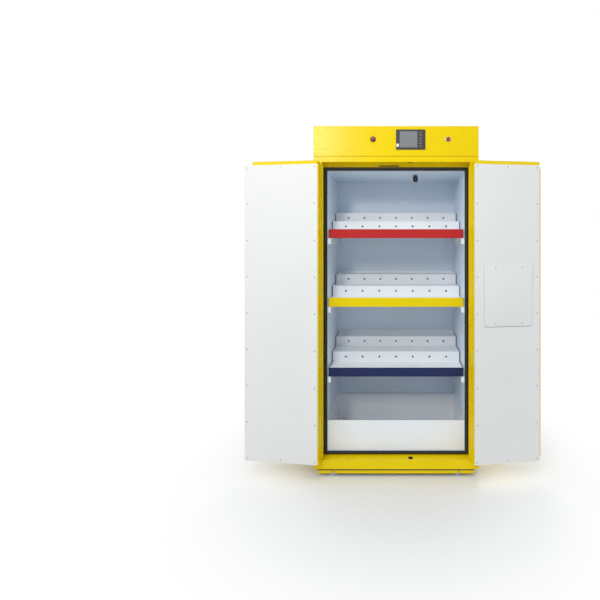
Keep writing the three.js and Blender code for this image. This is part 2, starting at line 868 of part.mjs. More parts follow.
function doorShell(side, openings) {
  const { box } = doorSpace(side);
  const notchLow = doorTop - doorCornerNotch;
  const edge = hingeInset;
  const outer = cut(
    box(edge, boxReach, 0, doorDepth, doorBottom, doorTop),
    box(edge - overrun, edge + doorHingeNotch, -overrun, doorDepth + overrun, notchLow, doorTop + overrun),
  );
  const inner = cut(
    box(
      edge + shellSheet, boxReach - shellSheet,
      shellSheet, doorDepth + overrun,
      doorBottom + shellSheet, doorTop - shellSheet,
    ),
    box(
      0, edge + doorHingeNotch + shellSheet,
      0, doorDepth + overrun * 2,
      notchLow - shellSheet, doorTop,
    ),
  );
  const lip = box(boxReach - shellSheet, lipReach, 0, shellSheet, doorBottom, notchLow);
  return cut(join(cut(outer, inner), lip), ...openings);
}

function pullOpening(side) {
  const { box } = doorSpace(side);
  const reach = hingeX - pullX;
  const half = pullCupWidth / 2 + fit;
  const halfHeight = pullCupHeight / 2 + fit;
  return box(reach - half, reach + half, -overrun, shellSheet + overrun, pullZ - halfHeight, pullZ + halfHeight);
}

// Flush pull: a plate over the skin, and behind it a cup that is wider than its finger slot
function flushPull(side) {
  const { box } = doorSpace(side);
  const reach = hingeX - pullX;
  const around = (width, height, depth0, depth1) => box(
    reach - width / 2, reach + width / 2, depth0, depth1, pullZ - height / 2, pullZ + height / 2,
  );
  return cut(
    join(
      around(pullWidth, pullHeight, -fit - pullPlate, -fit),
      around(pullCupWidth, pullCupHeight, -fit - pullPlate / 2, pullCupDepth),
    ),
    around(pullSlotWidth, pullSlotHeight, -pullPlate - overrun, pullFrameDepth + overrun),
    around(
      pullCupWidth - pullWall * 2, pullCupHeight - pullWall * 2,
      pullFrameDepth, pullCupDepth - pullWall,
    ),
  );
}

const doorGroups = {};
for (const [name, side] of Object.entries(sides)) {
  const door = new THREE.Group();
  door.position.set(side * hingeX, frontY - hingeStandoff, 0);
  door.rotation.z = side * THREE.MathUtils.degToRad(doorOpenAngle);
  cabinet.add(door);
  doorGroups[name] = door;

  const jambHinge = new THREE.Group();
  jambHinge.position.set(side * hingeX, frontY - hingeStandoff, 0);
  cabinet.add(jambHinge);
  const leafStart = leafClearance + leafThickness;
  add(`${name}_frame_leaf`, hingeLeaf(side, -leafStart, 0), steel(yellow, 0.3, 0.4), jambHinge);
  add(`${name}_hinge_pin`, prism(
    'z', circle(0, 0, hingePinRadius, hingeSides), hingeBottom - fit, hingeTop + fit,
  ), steel(zinc, 0.9, 0.35), jambHinge);
  add(`${name}_door_leaf`, hingeLeaf(side, leafClearance, 1), steel(yellow, 0.3, 0.4), door);
  add(`${name}_door_pull`, flushPull(side), steel(chrome, 1, 0.2), door);
}

function panelBox(side, reachEnd) {
  return doorSpace(side).box(
    hingeInset + panelHingeMargin, reachEnd,
    doorDepth + fit, panelBack,
    doorBottom + panelBottomMargin, doorTop - panelTopMargin,
  );
}

add('left_door_shell', doorShell(sides.left, [pullOpening(sides.left)]), steel(yellow), doorGroups.left);
add('left_door_inner_panel', panelBox(sides.left, hingeX + leftPanelOverlap), steel(white), doorGroups.left);

// Right door: the lock, its bolts and the cover over them
const right = doorSpace(sides.right);
const lockReach = hingeX - lockX;
const boltReach = hingeX - boltX;
const camReach = lockReach + keyOffset;
const tongueReach = lockReach - keyOffset;
const panHalf = panSize / 2;
const panOuter = panHalf + panWall;
const coverReach = boxReach - coverFreeMargin;
const coverTop = coverBottom + coverHeight;

const barrelOpenings = [camReach, tongueReach].map((reach) => right.bar(
  reach, barrelRadius + holeClearance, keySides, -overrun, shellSheet + overrun, lockZ,
));
const boltOpening = prism(
  'z', circle(right.x(boltReach), right.y(boltDepth), boltRadius + boltHoleClearance, boltSides),
  doorBottom - overrun, doorTop + overrun,
);
add('right_door_shell', doorShell(sides.right, [
  pullOpening(sides.right),
  right.box(
    lockReach - panOuter - fit, lockReach + panOuter + fit, -overrun, shellSheet + overrun,
    lockZ - panOuter - fit, lockZ + panOuter + fit,
  ),
  ...barrelOpenings,
  boltOpening,
]), steel(yellow), doorGroups.right);

add('right_door_inner_panel', cut(panelBox(sides.right, boxReach), right.box(
  coverHingeMargin + coverLap, coverReach - coverLap,
  doorDepth - overrun, panelBack + overrun,
  coverBottom + coverLap, coverTop - coverLap,
)), steel(white), doorGroups.right);

add('lock_cover', prism(
  'y', roundedRectangle(
    right.x(coverReach), right.x(coverHingeMargin), coverBottom, coverTop, coverCorner, coverCornerSteps,
  ),
  right.y(panelBack + fit), right.y(panelBack + fit + coverThickness),
), steel(white), doorGroups.right);

// Lock plate with the paddle's pan behind its window and a barrel for each key
const plateBack = -fit;
const plateFront = plateBack - lockPlateThickness;
const pivotZ = lockZ + panHalf - paddleTopGap - paddlePivotDrop;
const pivotDepth = paddleSink + paddleThickness / 2;
const paddleTop = lockZ + panHalf - paddleTopGap;
const paddleBottom = paddleTop - paddleHeight;
const around = (halfSpan, depth0, depth1) => right.box(
  lockReach - halfSpan, lockReach + halfSpan, depth0, depth1, lockZ - halfSpan, lockZ + halfSpan,
);
const pivotHole = prism(
  'x', circle(right.y(pivotDepth), pivotZ, paddlePivotRadius + paddlePivotClearance, keySides),
  right.x(lockReach + panOuter + overrun), right.x(lockReach - panOuter - overrun),
);
const tongueSweep = Math.sqrt(tongueLength ** 2 - (keyOffset - panOuter) ** 2);
const tongueSlot = right.box(
  lockReach - panOuter - overrun, lockReach - panHalf + overrun,
  tongueDepth - notchClearance, tongueDepth + tongueThickness + notchClearance,
  lockZ - tongueSweep - tongueWidth / 2, lockZ + tongueWidth / 2 + notchClearance,
);
add('lock_plate', cut(
  join(
    right.box(
      lockReach - lockPlateWidth / 2, lockReach + lockPlateWidth / 2, plateFront, plateBack,
      lockZ - lockPlateHeight / 2, lockZ + lockPlateHeight / 2,
    ),
    around(panOuter, plateFront / 2, panDepth + panWall),
    right.bar(camReach, barrelRadius, keySides, -barrelProud, barrelDepth, lockZ),
    right.bar(tongueReach, barrelRadius, keySides, -barrelProud, barrelDepth, lockZ),
  ),
  around(panHalf, plateFront - overrun, panDepth),
  right.bar(camReach, plugRadius + plugClearance, keySides, -barrelProud - overrun, barrelDepth + overrun, lockZ),
  right.bar(tongueReach, plugRadius + plugClearance, keySides, -barrelProud - overrun, barrelDepth + overrun, lockZ),
  pivotHole,
  tongueSlot,
), steel(stainless, 1, 0.35), doorGroups.right);

// Paddle: a flap on two pivots, with a hooked lug that the right lock's tongue can hold
const lugReach = lockReach - paddleWidth / 2 + lugEdge;
const lugNotchFront = tongueDepth - notchClearance;
const lugNotchBack = tongueDepth + tongueThickness + notchClearance;
const lugNotchTop = lockZ + tongueWidth / 2 + notchClearance * 2;
const lugRoot = paddleSink + paddleThickness / 2;
const lugOutline = [
  [lugRoot, paddleBottom],
  [lugNotchFront, paddleBottom],
  [lugNotchFront, lugNotchTop],
  [lugNotchBack, lugNotchTop],
  [lugNotchBack, paddleBottom],
  [lugNotchBack + lugHook, paddleBottom],
  [lugNotchBack + lugHook, paddleBottom + lugHeight],
  [lugRoot, paddleBottom + lugHeight],
].map(([depth, z]) => [right.y(depth), z]);
add('paddle', join(
  right.box(
    lockReach - paddleWidth / 2, lockReach + paddleWidth / 2,
    paddleSink, paddleSink + paddleThickness,
    paddleBottom, paddleTop,
  ),
  prism(
    'x', circle(right.y(pivotDepth), pivotZ, paddlePivotRadius, keySides),
    right.x(lockReach + panOuter - fit), right.x(lockReach - panOuter + fit),
  ),
  prism('x', lugOutline, right.x(lugReach + lugThickness), right.x(lugReach)),
), steel(0x8e9092, 1, 0.35), doorGroups.right);

// Keys: the turning plug, its neck and the flat bow in one; the slot stands upright at rest
function key(reach, plugEnd) {
  const plugFront = -barrelProud - plugProud;
  const bowRoot = plugFront - keyNeckLength;
  const bow = [
    [bowRoot, -keyNeckWidth / 2],
    [bowRoot - bowCorner / 2, -bowWidth / 2],
    [bowRoot - bowLength + bowCorner, -bowWidth / 2],
    [bowRoot - bowLength, -bowWidth / 2 + bowCorner],
    [bowRoot - bowLength, bowWidth / 2 - bowCorner],
    [bowRoot - bowLength + bowCorner, bowWidth / 2],
    [bowRoot - bowCorner / 2, bowWidth / 2],
    [bowRoot, keyNeckWidth / 2],
  ].map(([depth, z]) => [right.y(depth), lockZ + z]);
  return join(
    right.bar(reach, plugRadius, keySides, plugFront, plugEnd, lockZ),
    right.box(
      reach - bowThickness / 2, reach + bowThickness / 2, bowRoot - fit, plugFront + fit,
      lockZ - keyNeckWidth / 2, lockZ + keyNeckWidth / 2,
    ),
    prism('x', bow, right.x(reach + bowThickness / 2), right.x(reach - bowThickness / 2)),
  );
}

// The left plug ends in a spindle that carries the latch cam; the right one carries the tongue
const camFront = boltDepth - camThickness / 2;
const camBack = boltDepth + camThickness / 2;
const spindleEnd = camFront - fit;
const plugEnd = barrelDepth + plugProud;
add('left_key', join(
  key(camReach, plugEnd),
  right.bar(camReach, spindleRadius, keySides, barrelDepth, spindleEnd, lockZ),
), steel(zinc, 0.9, 0.3), doorGroups.right);
add('right_key', key(tongueReach, tongueDepth - fit), steel(0x2a2c2e, 0.2, 0.5), doorGroups.right);
add('lock_tongue', right.box(
  tongueReach - tongueWidth / 2, tongueReach + tongueWidth / 2,
  tongueDepth, tongueDepth + tongueThickness,
  lockZ - tongueLength, lockZ + tongueWidth / 2,
), steel(zinc, 0.9, 0.4), doorGroups.right);

// Latch cam: a disc with one pin towards the skin and one away from it, on opposite sides of its centre.
// Turned a quarter, each pin rises or falls by the bolts' throw.
const pinCircle = boltThrow / Math.SQRT2;
const pinSideways = boltThrow / 2;
const upperPinZ = lockZ - boltThrow / 2;
const lowerPinZ = lockZ + boltThrow / 2;
add('latch_cam', join(
  right.bar(camReach, camRadius, deviceSides, camFront, camBack, lockZ),
  right.bar(camReach + pinSideways, camPinRadius, boltSides, camFront - camPinLength, boltDepth, upperPinZ),
  right.bar(camReach - pinSideways, camPinRadius, boltSides, boltDepth, camBack + camPinLength, lowerPinZ),
), steel(zinc, 0.9, 0.4), doorGroups.right);

// A bolt rod with a pointed tip; end is +1 for the upper bolt and -1 for the lower one
function boltRod(end) {
  const tip = end > 0 ? doorTop - boltTipInset : doorBottom + boltTipInset;
  const root = lockZ + end * boltGapHalf;
  const shoulder = tip - end * boltTipLength;
  return turned('z', [
    [0, root],
    [boltRadius, root],
    [boltRadius, shoulder],
    [boltTipRadius, tip],
    [0, tip],
  ], boltSides, [right.x(boltReach), right.y(boltDepth), 0]);
}

// Upper yoke: a fork in front of the cam that the upper pin lifts
const yokeSlotHalf = camPinRadius + yokeClearance;
const yokeOuter = boltReach + boltRadius + yokeClearance;
const slotEnd = pinCircle + camPinRadius + yokeClearance;
const upperYokeBack = camFront - yokeGap;
const upperYokeFront = upperYokeBack - yokeThickness;
const upperYokeStart = camReach + spindleRadius + yokeClearance;
const upperRoot = lockZ + boltGapHalf;
add('upper_bolt', cut(
  join(
    boltRod(1),
    right.box(
      upperYokeStart, yokeOuter, upperYokeFront, upperYokeBack,
      upperPinZ - yokeSlotHalf - yokeProng, upperRoot + yokeOverlap,
    ),
    right.box(
      boltReach - boltRadius, boltReach + boltRadius, upperYokeFront, boltDepth,
      upperRoot, upperRoot + yokeOverlap,
    ),
  ),
  right.box(
    upperYokeStart - overrun, camReach + slotEnd, upperYokeFront - overrun, camFront,
    upperPinZ - yokeSlotHalf, upperPinZ + yokeSlotHalf,
  ),
), steel(zinc, 0.9, 0.4), doorGroups.right);

// Lower yoke: a slotted plate behind the cam that the lower pin pushes down
const lowerYokeFront = camBack + yokeGap;
const lowerYokeBack = lowerYokeFront + yokeThickness;
const lowerYokeStart = camReach - slotEnd - yokeProng;
const lowerRoot = lockZ - boltGapHalf;
add('lower_bolt', cut(
  join(
    boltRod(-1),
    right.box(
      lowerYokeStart, yokeOuter, lowerYokeFront, lowerYokeBack,
      lowerRoot - yokeOverlap, lowerPinZ + yokeSlotHalf + yokeProng,
    ),
    right.box(
      boltReach - boltRadius, boltReach + boltRadius, boltDepth, lowerYokeBack,
      lowerRoot - yokeOverlap, lowerRoot,
    ),
  ),
  right.box(
    camReach - slotEnd, camReach - pinSideways + yokeSlotHalf, camBack, lowerYokeBack + overrun,
    lowerPinZ - yokeSlotHalf, lowerPinZ + yokeSlotHalf,
  ),
), steel(zinc, 0.9, 0.4), doorGroups.right);

export default cabinet;
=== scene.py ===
"""Looks of a two-door flammable safety cabinet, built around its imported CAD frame.

Laid out as a Blender add-on and run as a script. Shapes are worked out in millimetres and their meshes
are in metres. x = 0 is the cabinet's middle plane, z = 0 the floor and -Y the front.
"""

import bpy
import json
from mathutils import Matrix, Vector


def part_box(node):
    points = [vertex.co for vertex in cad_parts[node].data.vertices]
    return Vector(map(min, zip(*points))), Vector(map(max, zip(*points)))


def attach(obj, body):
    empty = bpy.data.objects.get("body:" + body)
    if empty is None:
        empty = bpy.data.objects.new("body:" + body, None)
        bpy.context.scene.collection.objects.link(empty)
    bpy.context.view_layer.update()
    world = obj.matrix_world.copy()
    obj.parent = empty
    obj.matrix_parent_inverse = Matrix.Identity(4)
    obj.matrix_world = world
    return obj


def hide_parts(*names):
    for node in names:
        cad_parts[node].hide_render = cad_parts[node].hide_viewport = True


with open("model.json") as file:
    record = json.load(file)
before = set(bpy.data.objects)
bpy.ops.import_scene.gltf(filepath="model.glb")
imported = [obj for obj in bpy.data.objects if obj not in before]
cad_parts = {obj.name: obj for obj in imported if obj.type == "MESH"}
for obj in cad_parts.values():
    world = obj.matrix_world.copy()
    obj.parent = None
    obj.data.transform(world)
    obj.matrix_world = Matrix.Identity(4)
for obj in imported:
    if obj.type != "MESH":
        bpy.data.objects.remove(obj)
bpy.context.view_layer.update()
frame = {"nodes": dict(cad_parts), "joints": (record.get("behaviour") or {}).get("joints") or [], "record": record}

import json
import math

import bmesh
import bpy
import numpy as np

bl_info = {
    "name": "Flammable safety cabinet",
    "version": (1, 0, 0),
    "blender": (4, 5, 0),
    "location": "View3D > Sidebar > Cabinet",
    "description": "Finishes and fine pieces of a two-door safety cabinet, built around its CAD frame",
    "category": "Object",
}

MM = 0.001
SAME_POINT = 1e-6
SIDES = {"left": -1, "right": 1}
RECORD = frame["record"]
JOINTS = {joint["name"]: joint for joint in frame["joints"]}
NODE_SLOT = {part["node"]: part["material_slot"] for part in RECORD["subparts"]}
NODE_BODY = {node: body for body, nodes in RECORD["behaviour"]["bodies"].items() for node in nodes}


def span(node):
    """Lowest and highest corner of a CAD node at rest, in millimetres."""
    low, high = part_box(node)
    return np.array(low) / MM, np.array(high) / MM


def middle_of(node):
    """Middle of a CAD node at rest, in millimetres."""
    low, high = span(node)
    return (low + high) / 2


# Places that the CAD sets, in millimetres. A reach runs along a door from its hinge line
HINGE_X, HINGE_Y = (value / MM for value in JOINTS["right_door_hinge"]["pos_m"][:2])
HINGE_STANDOFF = 5
OPEN_ANGLE = math.radians(JOINTS["right_door_hinge"]["range_deg"][1])
FRONT_Y = span("fascia_panel")[0][1]
HALF_WIDTH = span("fascia_panel")[1][0]
REBATE_Y = FRONT_Y + 60
DOOR_BOTTOM, DOOR_TOP = (corner[2] for corner in span("right_door_shell"))
PANEL_LOW, PANEL_HIGH = (corner[2] for corner in span("right_door_inner_panel"))
PANEL_BACK = 52.3
PANEL_START = 8
PANEL_ENDS = {"left": HINGE_X + 12, "right": 370}
LOCK_REACH, PULL_REACH, BOLT_REACH = (HINGE_X - from_middle for from_middle in (160, 75, 80))
LOCK_Z, PULL_Z = 1060, 1225
KEY_OFFSET = 67
BOLT_DEPTH = 22.5


# Surfaces: each is its points, in millimetres, and a list of index arrays with one face a row

def grid(points, closed_rows=False, closed_columns=False, caps=()):
    """Surface over rows and columns of points, with a quad between each four neighbours.

    A closed way joins its last row or column to its first, and a cap is one face over a whole row.
    """
    rows, columns = points.shape[:2]
    index = np.arange(rows * columns).reshape(rows, columns)
    across = np.vstack([index, index[:1]]) if closed_rows else index
    across = np.hstack([across, across[:, :1]]) if closed_columns else across
    quads = np.stack([across[:-1, :-1], across[1:, :-1], across[1:, 1:], across[:-1, 1:]], axis=-1)
    return points.reshape(-1, 3), [quads.reshape(-1, 4)] + [index[row][None] for row in caps]


def together(*surfaces):
    """Several surfaces as one: points in a row, and each one's indices moved past the points before it."""
    points, faces, start = [], [], 0
    for surface_points, surface_faces in surfaces:
        points.append(surface_points)
        faces += [group + start for group in surface_faces]
        start += len(surface_points)
    return np.vstack(points), faces


def repeated(surface, offsets):
    """Copies of a surface, each point moved by each row of offsets."""
    points, faces = surface
    offsets = np.asarray(offsets, dtype=float)
    moved = (points[None] + offsets[:, None]).reshape(-1, 3)
    shifts = (np.arange(len(offsets)) * len(points))[:, None, None]
    return moved, [(group[None] + shifts).reshape(-1, group.shape[1]) for group in faces]


def rounded_rectangle(width, height, radius, steps=6, centre=(0, 0)):
    """Closed outline: each corner's centre plus radius (cos a, sin a), a turning a quarter per corner."""
    turn = np.arange(4)[:, None] * np.pi / 2 + np.linspace(0, np.pi / 2, steps)[None]
    across = np.array([1, -1, -1, 1])[:, None] * (width / 2 - radius) + radius * np.cos(turn)
    up = np.array([1, 1, -1, -1])[:, None] * (height / 2 - radius) + radius * np.sin(turn)
    return np.stack([across.ravel() + centre[0], up.ravel() + centre[1]], axis=-1)


def circle(radius, sides=32, lobes=0, swell=0.0, centre=(0, 0)):
    """Closed outline: radius (1 + swell cos(lobes a)) times (cos a, sin a) for a round the full turn."""
    turn = np.arange(sides) * 2 * np.pi / sides
    reach = radius * (1 + swell * np.cos(lobes * turn))
    return np.stack([reach * np.cos(turn) + centre[0], reach * np.sin(turn) + centre[1]], axis=-1)


def rings(levels, place, closed=False):
    """Body through a stack of levels, each an outline and its depth.

    place turns (a, b, depth) into points. The first and the last level are capped, or joined when closed.
    """
    flat = np.stack([outline for outline, _ in levels])
    depth = np.array([at for _, at in levels], dtype=float)[:, None] * np.ones(flat.shape[1])
    points = place(flat[..., 0], flat[..., 1], depth)
    return grid(points, closed_rows=closed, closed_columns=True, caps=() if closed else (0, -1))


def plates(sizes, steps=4, centre=(0, 0)):
    """Levels of rounded rectangles, one for each (width, height, corner radius, depth)."""
    return [
        (rounded_rectangle(width, height, radius, steps, centre), depth)
        for width, height, radius, depth in sizes
    ]


def turned(profile, place, sides=32, closed=False):
    """Body of revolution: a circle for each (radius, depth) of the profile, in order."""
    return rings([(circle(radius, sides), depth) for radius, depth in profile], place, closed)


def fillet(path, radii, steps):
    """Path whose inner corners are arcs of radius r.

    An arc is c + r (cos a, sin a), its centre c on the bisector, r / sin(half the angle) from the corner.
    """
    corner, before, after = path[1:-1], path[:-2] - path[1:-1], path[2:] - path[1:-1]
    before = before / np.linalg.norm(before, axis=1, keepdims=True)
    after = after / np.linalg.norm(after, axis=1, keepdims=True)
    half = np.arccos(np.clip((before * after).sum(axis=1), -1, 1)) / 2
    bisector = before + after
    bisector = bisector / np.linalg.norm(bisector, axis=1, keepdims=True)
    centre = corner + bisector * (radii / np.sin(half))[:, None]
    start = corner + before * (radii / np.tan(half))[:, None] - centre
    bend = before[:, 0] * after[:, 1] - before[:, 1] * after[:, 0]
    angle = np.arctan2(start[:, 1], start[:, 0])[:, None]
    angle = angle - (np.sign(bend) * (np.pi - 2 * half))[:, None] * np.linspace(0, 1, steps)[None]
    arc = centre[:, None] + radii[:, None, None] * np.stack([np.cos(angle), np.sin(angle)], axis=-1)
    return np.vstack([path[:1], arc.reshape(-1, 2), path[-1:]])


def fold(path, thickness, bend_radius, steps=4):
    """Both faces of a bent sheet: the path, and the path set off to its right, their arcs concentric."""
    path = np.asarray(path, dtype=float)
    along = np.diff(path, axis=0)
    along = along / np.linalg.norm(along, axis=1, keepdims=True)
    right = np.stack([along[:, 1], -along[:, 0]], axis=-1)
    turn = along[:-1, 0] * along[1:, 1] - along[:-1, 1] * along[1:, 0]
    mitre = right[:-1] + right[1:]
    mitre = mitre / (1 + (right[:-1] * right[1:]).sum(axis=1, keepdims=True))
    shift = np.vstack([right[:1], mitre, right[-1:]]) * thickness
    near = np.where(turn > 0, bend_radius, bend_radius + thickness)
    far = np.where(turn > 0, bend_radius + thickness, bend_radius)
    return fillet(path, near, steps), fillet(path + shift, far, steps)


def bent_sheet(path, thickness, bend_radius, low, high, place):
    """A sheet folded along a path and drawn out from low to high: four rows round its section."""
    near, far = fold(path, thickness, bend_radius)
    flat = np.stack([near, near, far, far])
    depth = np.array([low, high, high, low])[:, None] * np.ones(len(near))
    points, faces = grid(place(flat[..., 0], flat[..., 1], depth), closed_rows=True)
    rows = np.arange(4) * len(near)
    return points, faces + [rows[None], (rows + len(near) - 1)[None]]


def pan_head(place, radius, proud):
    """Pan-head screw: rings from the rim over a dome to a cross recess, whose radius swells four times."""
    return rings([
        (circle(radius, 16), proud - 0.6), (circle(radius, 16), proud + 0.4),
        (circle(radius * 0.9, 16), proud + 0.9), (circle(radius * 0.68, 16), proud + 1.25),
        (circle(radius * 0.42, 16, 4, 0.28), proud + 1.35), (circle(radius * 0.2, 16, 4, 0.3), proud + 0.5),
    ], place)


def dome_rivet(place, radius, height=1.4):
    """Rivet head: rings of radius r cos a at height h sin a."""
    turn = np.linspace(0, np.pi / 2, 6)
    dome = [(radius * max(math.cos(a), 1e-3), height * math.sin(a)) for a in turn]
    return turned([(radius, -0.4), *dome], place, 16)


# Ways to set a shape down: each turns (a, b, depth) into points of the cabinet

def facing_front(x, y, z):
    """a runs along +X, b up, and depth out of the front."""
    return lambda a, b, depth: np.stack([x + a, y - depth, z + b], axis=-1)


def facing_back(x, y, z):
    """a runs along -X, b up, and depth out of the back."""
    return lambda a, b, depth: np.stack([x - a, y + depth, z + b], axis=-1)


def facing_up(x, y, z):
    """a runs along +X, b along +Y, and depth up."""
    return lambda a, b, depth: np.stack([x + a, y + b, z + depth], axis=-1)


def facing_side(side, x, y, z):
    """a runs along Y, b up, and depth out of that side."""
    return lambda a, b, depth: np.stack([x + side * depth, y + side * a, z + b], axis=-1)


def on_fascia(node):
    """a runs along +X and b up from a node's middle, and depth out of the fascia."""
    x, _, z = middle_of(node)
    return facing_front(x, FRONT_Y, z)


def door_points(side, reach, depth, height):
    """Points of an open door: (-reach, standoff + depth) turned by the opening angle about the hinge line."""
    behind = HINGE_STANDOFF + depth
    x = HINGE_X - reach * math.cos(OPEN_ANGLE) - behind * math.sin(OPEN_ANGLE)
    y = HINGE_Y - reach * math.sin(OPEN_ANGLE) + behind * math.cos(OPEN_ANGLE)
    return np.stack([side * x, y, np.broadcast_to(height, np.shape(x)) + 0 * x], axis=-1)


def on_skin(side, reach, z):
    """a runs away from the hinge, b up, and depth out of the door's painted skin."""
    return lambda a, b, out: door_points(side, reach + a, -out, z + b)


def on_lining(side, reach, depth, z):
    """a runs away from the hinge, b up, and depth out of the door's white lining."""
    return lambda a, b, out: door_points(side, reach + a, depth + out, z + b)


# Meshes

def merge_doubles(mesh, outwards):
    """Joins the points that coincide, and turns the faces outwards where asked."""
    shape = bmesh.new()
    shape.from_mesh(mesh)
    bmesh.ops.remove_doubles(shape, verts=shape.verts, dist=SAME_POINT)
    if outwards:
        bmesh.ops.recalc_face_normals(shape, faces=shape.faces)
    shape.to_mesh(mesh)
    shape.free()


def round_edges(piece, radius):
    """Live bevel on edges sharper than 30 degrees, so that they catch a line of light."""
    bevel = piece.modifiers.new("rounded_edges", "BEVEL")
    bevel.width = radius * MM
    bevel.segments = 2
    bevel.limit_method = "ANGLE"
    bevel.angle_limit = math.radians(30)
    level = piece.modifiers.new("flat_faces", "WEIGHTED_NORMAL")
    level.mode = "FACE_AREA"
    level.weight = 100


def finish_piece(name, mesh, material, body, replaces, rounding, smooth_angle):
    """A piece from its mesh: smooth but for its sharp edges, with its finish, and on its body."""
    piece = bpy.data.objects.new(name, mesh)
    mesh.polygons.foreach_set("use_smooth", np.ones(len(mesh.polygons), dtype=bool))
    mesh.set_sharp_from_angle(angle=math.radians(smooth_angle))
    mesh.materials.clear()
    mesh.materials.append(material)
    bpy.context.scene.collection.objects.link(piece)
    if rounding:
        round_edges(piece, rounding)
    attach(piece, body)
    if replaces:
        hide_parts(*replaces)


def make_piece(
    name, surface, slot, body="cabinet", replaces=(), material=None, rounding=0, smooth_angle=40,
):
    """A piece from a surface, in metres, in its slot's finish unless it has a material of its own."""
    points, faces = surface
    mesh = bpy.data.meshes.new(name)
    mesh.from_pydata((points * MM).tolist(), [], [face for group in faces for face in group.tolist()])
    merge_doubles(mesh, outwards=True)
    finish_piece(name, mesh, material or finish(slot), body, replaces, rounding, smooth_angle)


def soften(node, name, rounding, seam=0):
    """A copy of a CAD node, merged and with its edges rounded, that stands for the node.

    seam lifts its lowest edge by so many millimetres, which opens a joint below it.
    """
    mesh = frame["nodes"][node].data.copy()
    mesh.name = name
    merge_doubles(mesh, outwards=False)
    corners = np.empty(3 * len(mesh.vertices))
    mesh.vertices.foreach_get("co", corners)
    heights = corners[2::3]
    heights += np.where(heights < heights.min() + MM, seam * MM, 0)
    mesh.vertices.foreach_set("co", corners)
    slot = NODE_SLOT[node]
    finish_piece(name, mesh, finish(slot), NODE_BODY[node], (node,), rounding, 40)


# Finishes

def to_linear(hex_text):
    """sRGB hex to linear colour: c / 12.92 below 0.04045, else ((c + 0.055) / 1.055) to the 2.4."""
    values = np.array([int(hex_text[i:i + 2], 16) for i in (0, 2, 4)]) / 255
    linear = np.where(values <= 0.04045, values / 12.92, ((values + 0.055) / 1.055) ** 2.4)
    return tuple(float(value) for value in linear)


def add_node(tree, kind, inputs=None, **settings):
    """One node with its settings; each input, by name or number, gets a value or a link from a socket."""
    node = tree.nodes.new(kind)
    for key, value in settings.items():
        setattr(node, key, value)
    for key, value in (inputs or {}).items():
        if isinstance(value, bpy.types.NodeSocket):
            tree.links.new(value, node.inputs[key])
        else:
            node.inputs[key].default_value = value
    return node


def new_material(name):
    """An empty node material, its tree and its object coordinates."""
    material = bpy.data.materials.new(name)
    material.use_nodes = True
    material.node_tree.nodes.clear()
    coordinates = add_node(material.node_tree, "ShaderNodeTexCoord").outputs["Object"]
    return material, material.node_tree, coordinates


def close_material(material, shader):
    """Sends the shader to the surface, and gives the material back."""
    add_node(material.node_tree, "ShaderNodeOutputMaterial", {"Surface": shader.outputs[0]})
    return material


def principled(material, inputs):
    """Gives the material a principled surface with these inputs, and gives the material back."""
    return close_material(material, add_node(material.node_tree, "ShaderNodeBsdfPrincipled", inputs))


def noise(tree, coordinates, scale, detail=2.0, roughness=0.5):
    """Cloudy noise between 0 and 1, its largest clouds about 1 / scale metres across."""
    return add_node(tree, "ShaderNodeTexNoise", {
        "Vector": coordinates, "Scale": scale, "Detail": detail, "Roughness": roughness,
    }).outputs[0]


def spread(tree, value, low, high, start=0.3, end=0.7):
    """The middle of a noise, from start to end, spread over low to high."""
    return add_node(tree, "ShaderNodeMapRange", {
        "Value": value, "From Min": start, "From Max": end, "To Min": low, "To Max": high,
    }).outputs[0]


def relief(tree, height, depth_mm):
    """Bumps from a height between 0 and 1, so many millimetres deep."""
    return add_node(tree, "ShaderNodeBump", {
        "Height": height, "Strength": 1.0, "Distance": depth_mm * MM,
    }).outputs[0]


def blend_colours(tree, factor, first, second):
    """A colour between two, by factor."""
    return add_node(
        tree, "ShaderNodeMix", {0: factor, 6: (*first, 1), 7: (*second, 1)}, data_type="RGBA",
    ).outputs[2]


def tint(colour, share):
    """A colour with each of its parts times a share."""
    return tuple(part * share for part in colour)


def powder_coat(name, colour, roughness, shine=0.5, peel_mm=9, peel_height_mm=0.05, drift_share=0.93):
    """Powder-coated steel: dry paint sprayed on and baked to a hard even skin.

    It gives an even colour that drifts a little over half a metre, soft broad reflections, and an orange
    peel that breaks up highlights. The real peel is about 2 mm across; it is drawn coarser so that it shows.
    Its fine powder grain scatters light that comes in flat, so faces seen edge-on bloom lighter.
    """
    material, tree, coordinates = new_material(name)
    peel = noise(tree, coordinates, 1 / (peel_mm * MM))
    drift = spread(tree, noise(tree, coordinates, 2.2, 3.0), 0.0, 1.0, start=0.35, end=0.65)
    return principled(material, {
        "Base Color": blend_colours(tree, drift, tint(colour, drift_share), colour),
        "Roughness": spread(tree, peel, roughness - 0.03, roughness + 0.05),
        "IOR": 1.5,
        "Specular IOR Level": shine,
        "Sheen Weight": 0.3,
        "Sheen Roughness": 0.4,
        "Sheen Tint": (*colour, 1),
        "Normal": relief(tree, peel, peel_height_mm),
    })


def brushed_metal(name, colour, roughness):
    """Brushed metal: ground one way with an abrasive belt.

    Fine parallel scratches draw highlights out across them. The real lines are about 0.1 mm apart; they are
    drawn 1.5 mm apart so that they show, and 90 mm long.
    """
    line_mm, stretch = 1.5, 60
    material, tree, coordinates = new_material(name)
    mapping = add_node(tree, "ShaderNodeMapping", {"Vector": coordinates, "Scale": (1, stretch, stretch)})
    grain = noise(tree, mapping.outputs[0], 1 / (line_mm * stretch * MM), 4.0)
    return principled(material, {
        "Base Color": blend_colours(tree, grain, tint(colour, 0.86), colour),
        "Metallic": 1.0,
        "Roughness": spread(tree, grain, roughness - 0.08, roughness + 0.1),
        "Anisotropic": 0.4,
        "Normal": relief(tree, grain, 0.02),
    })


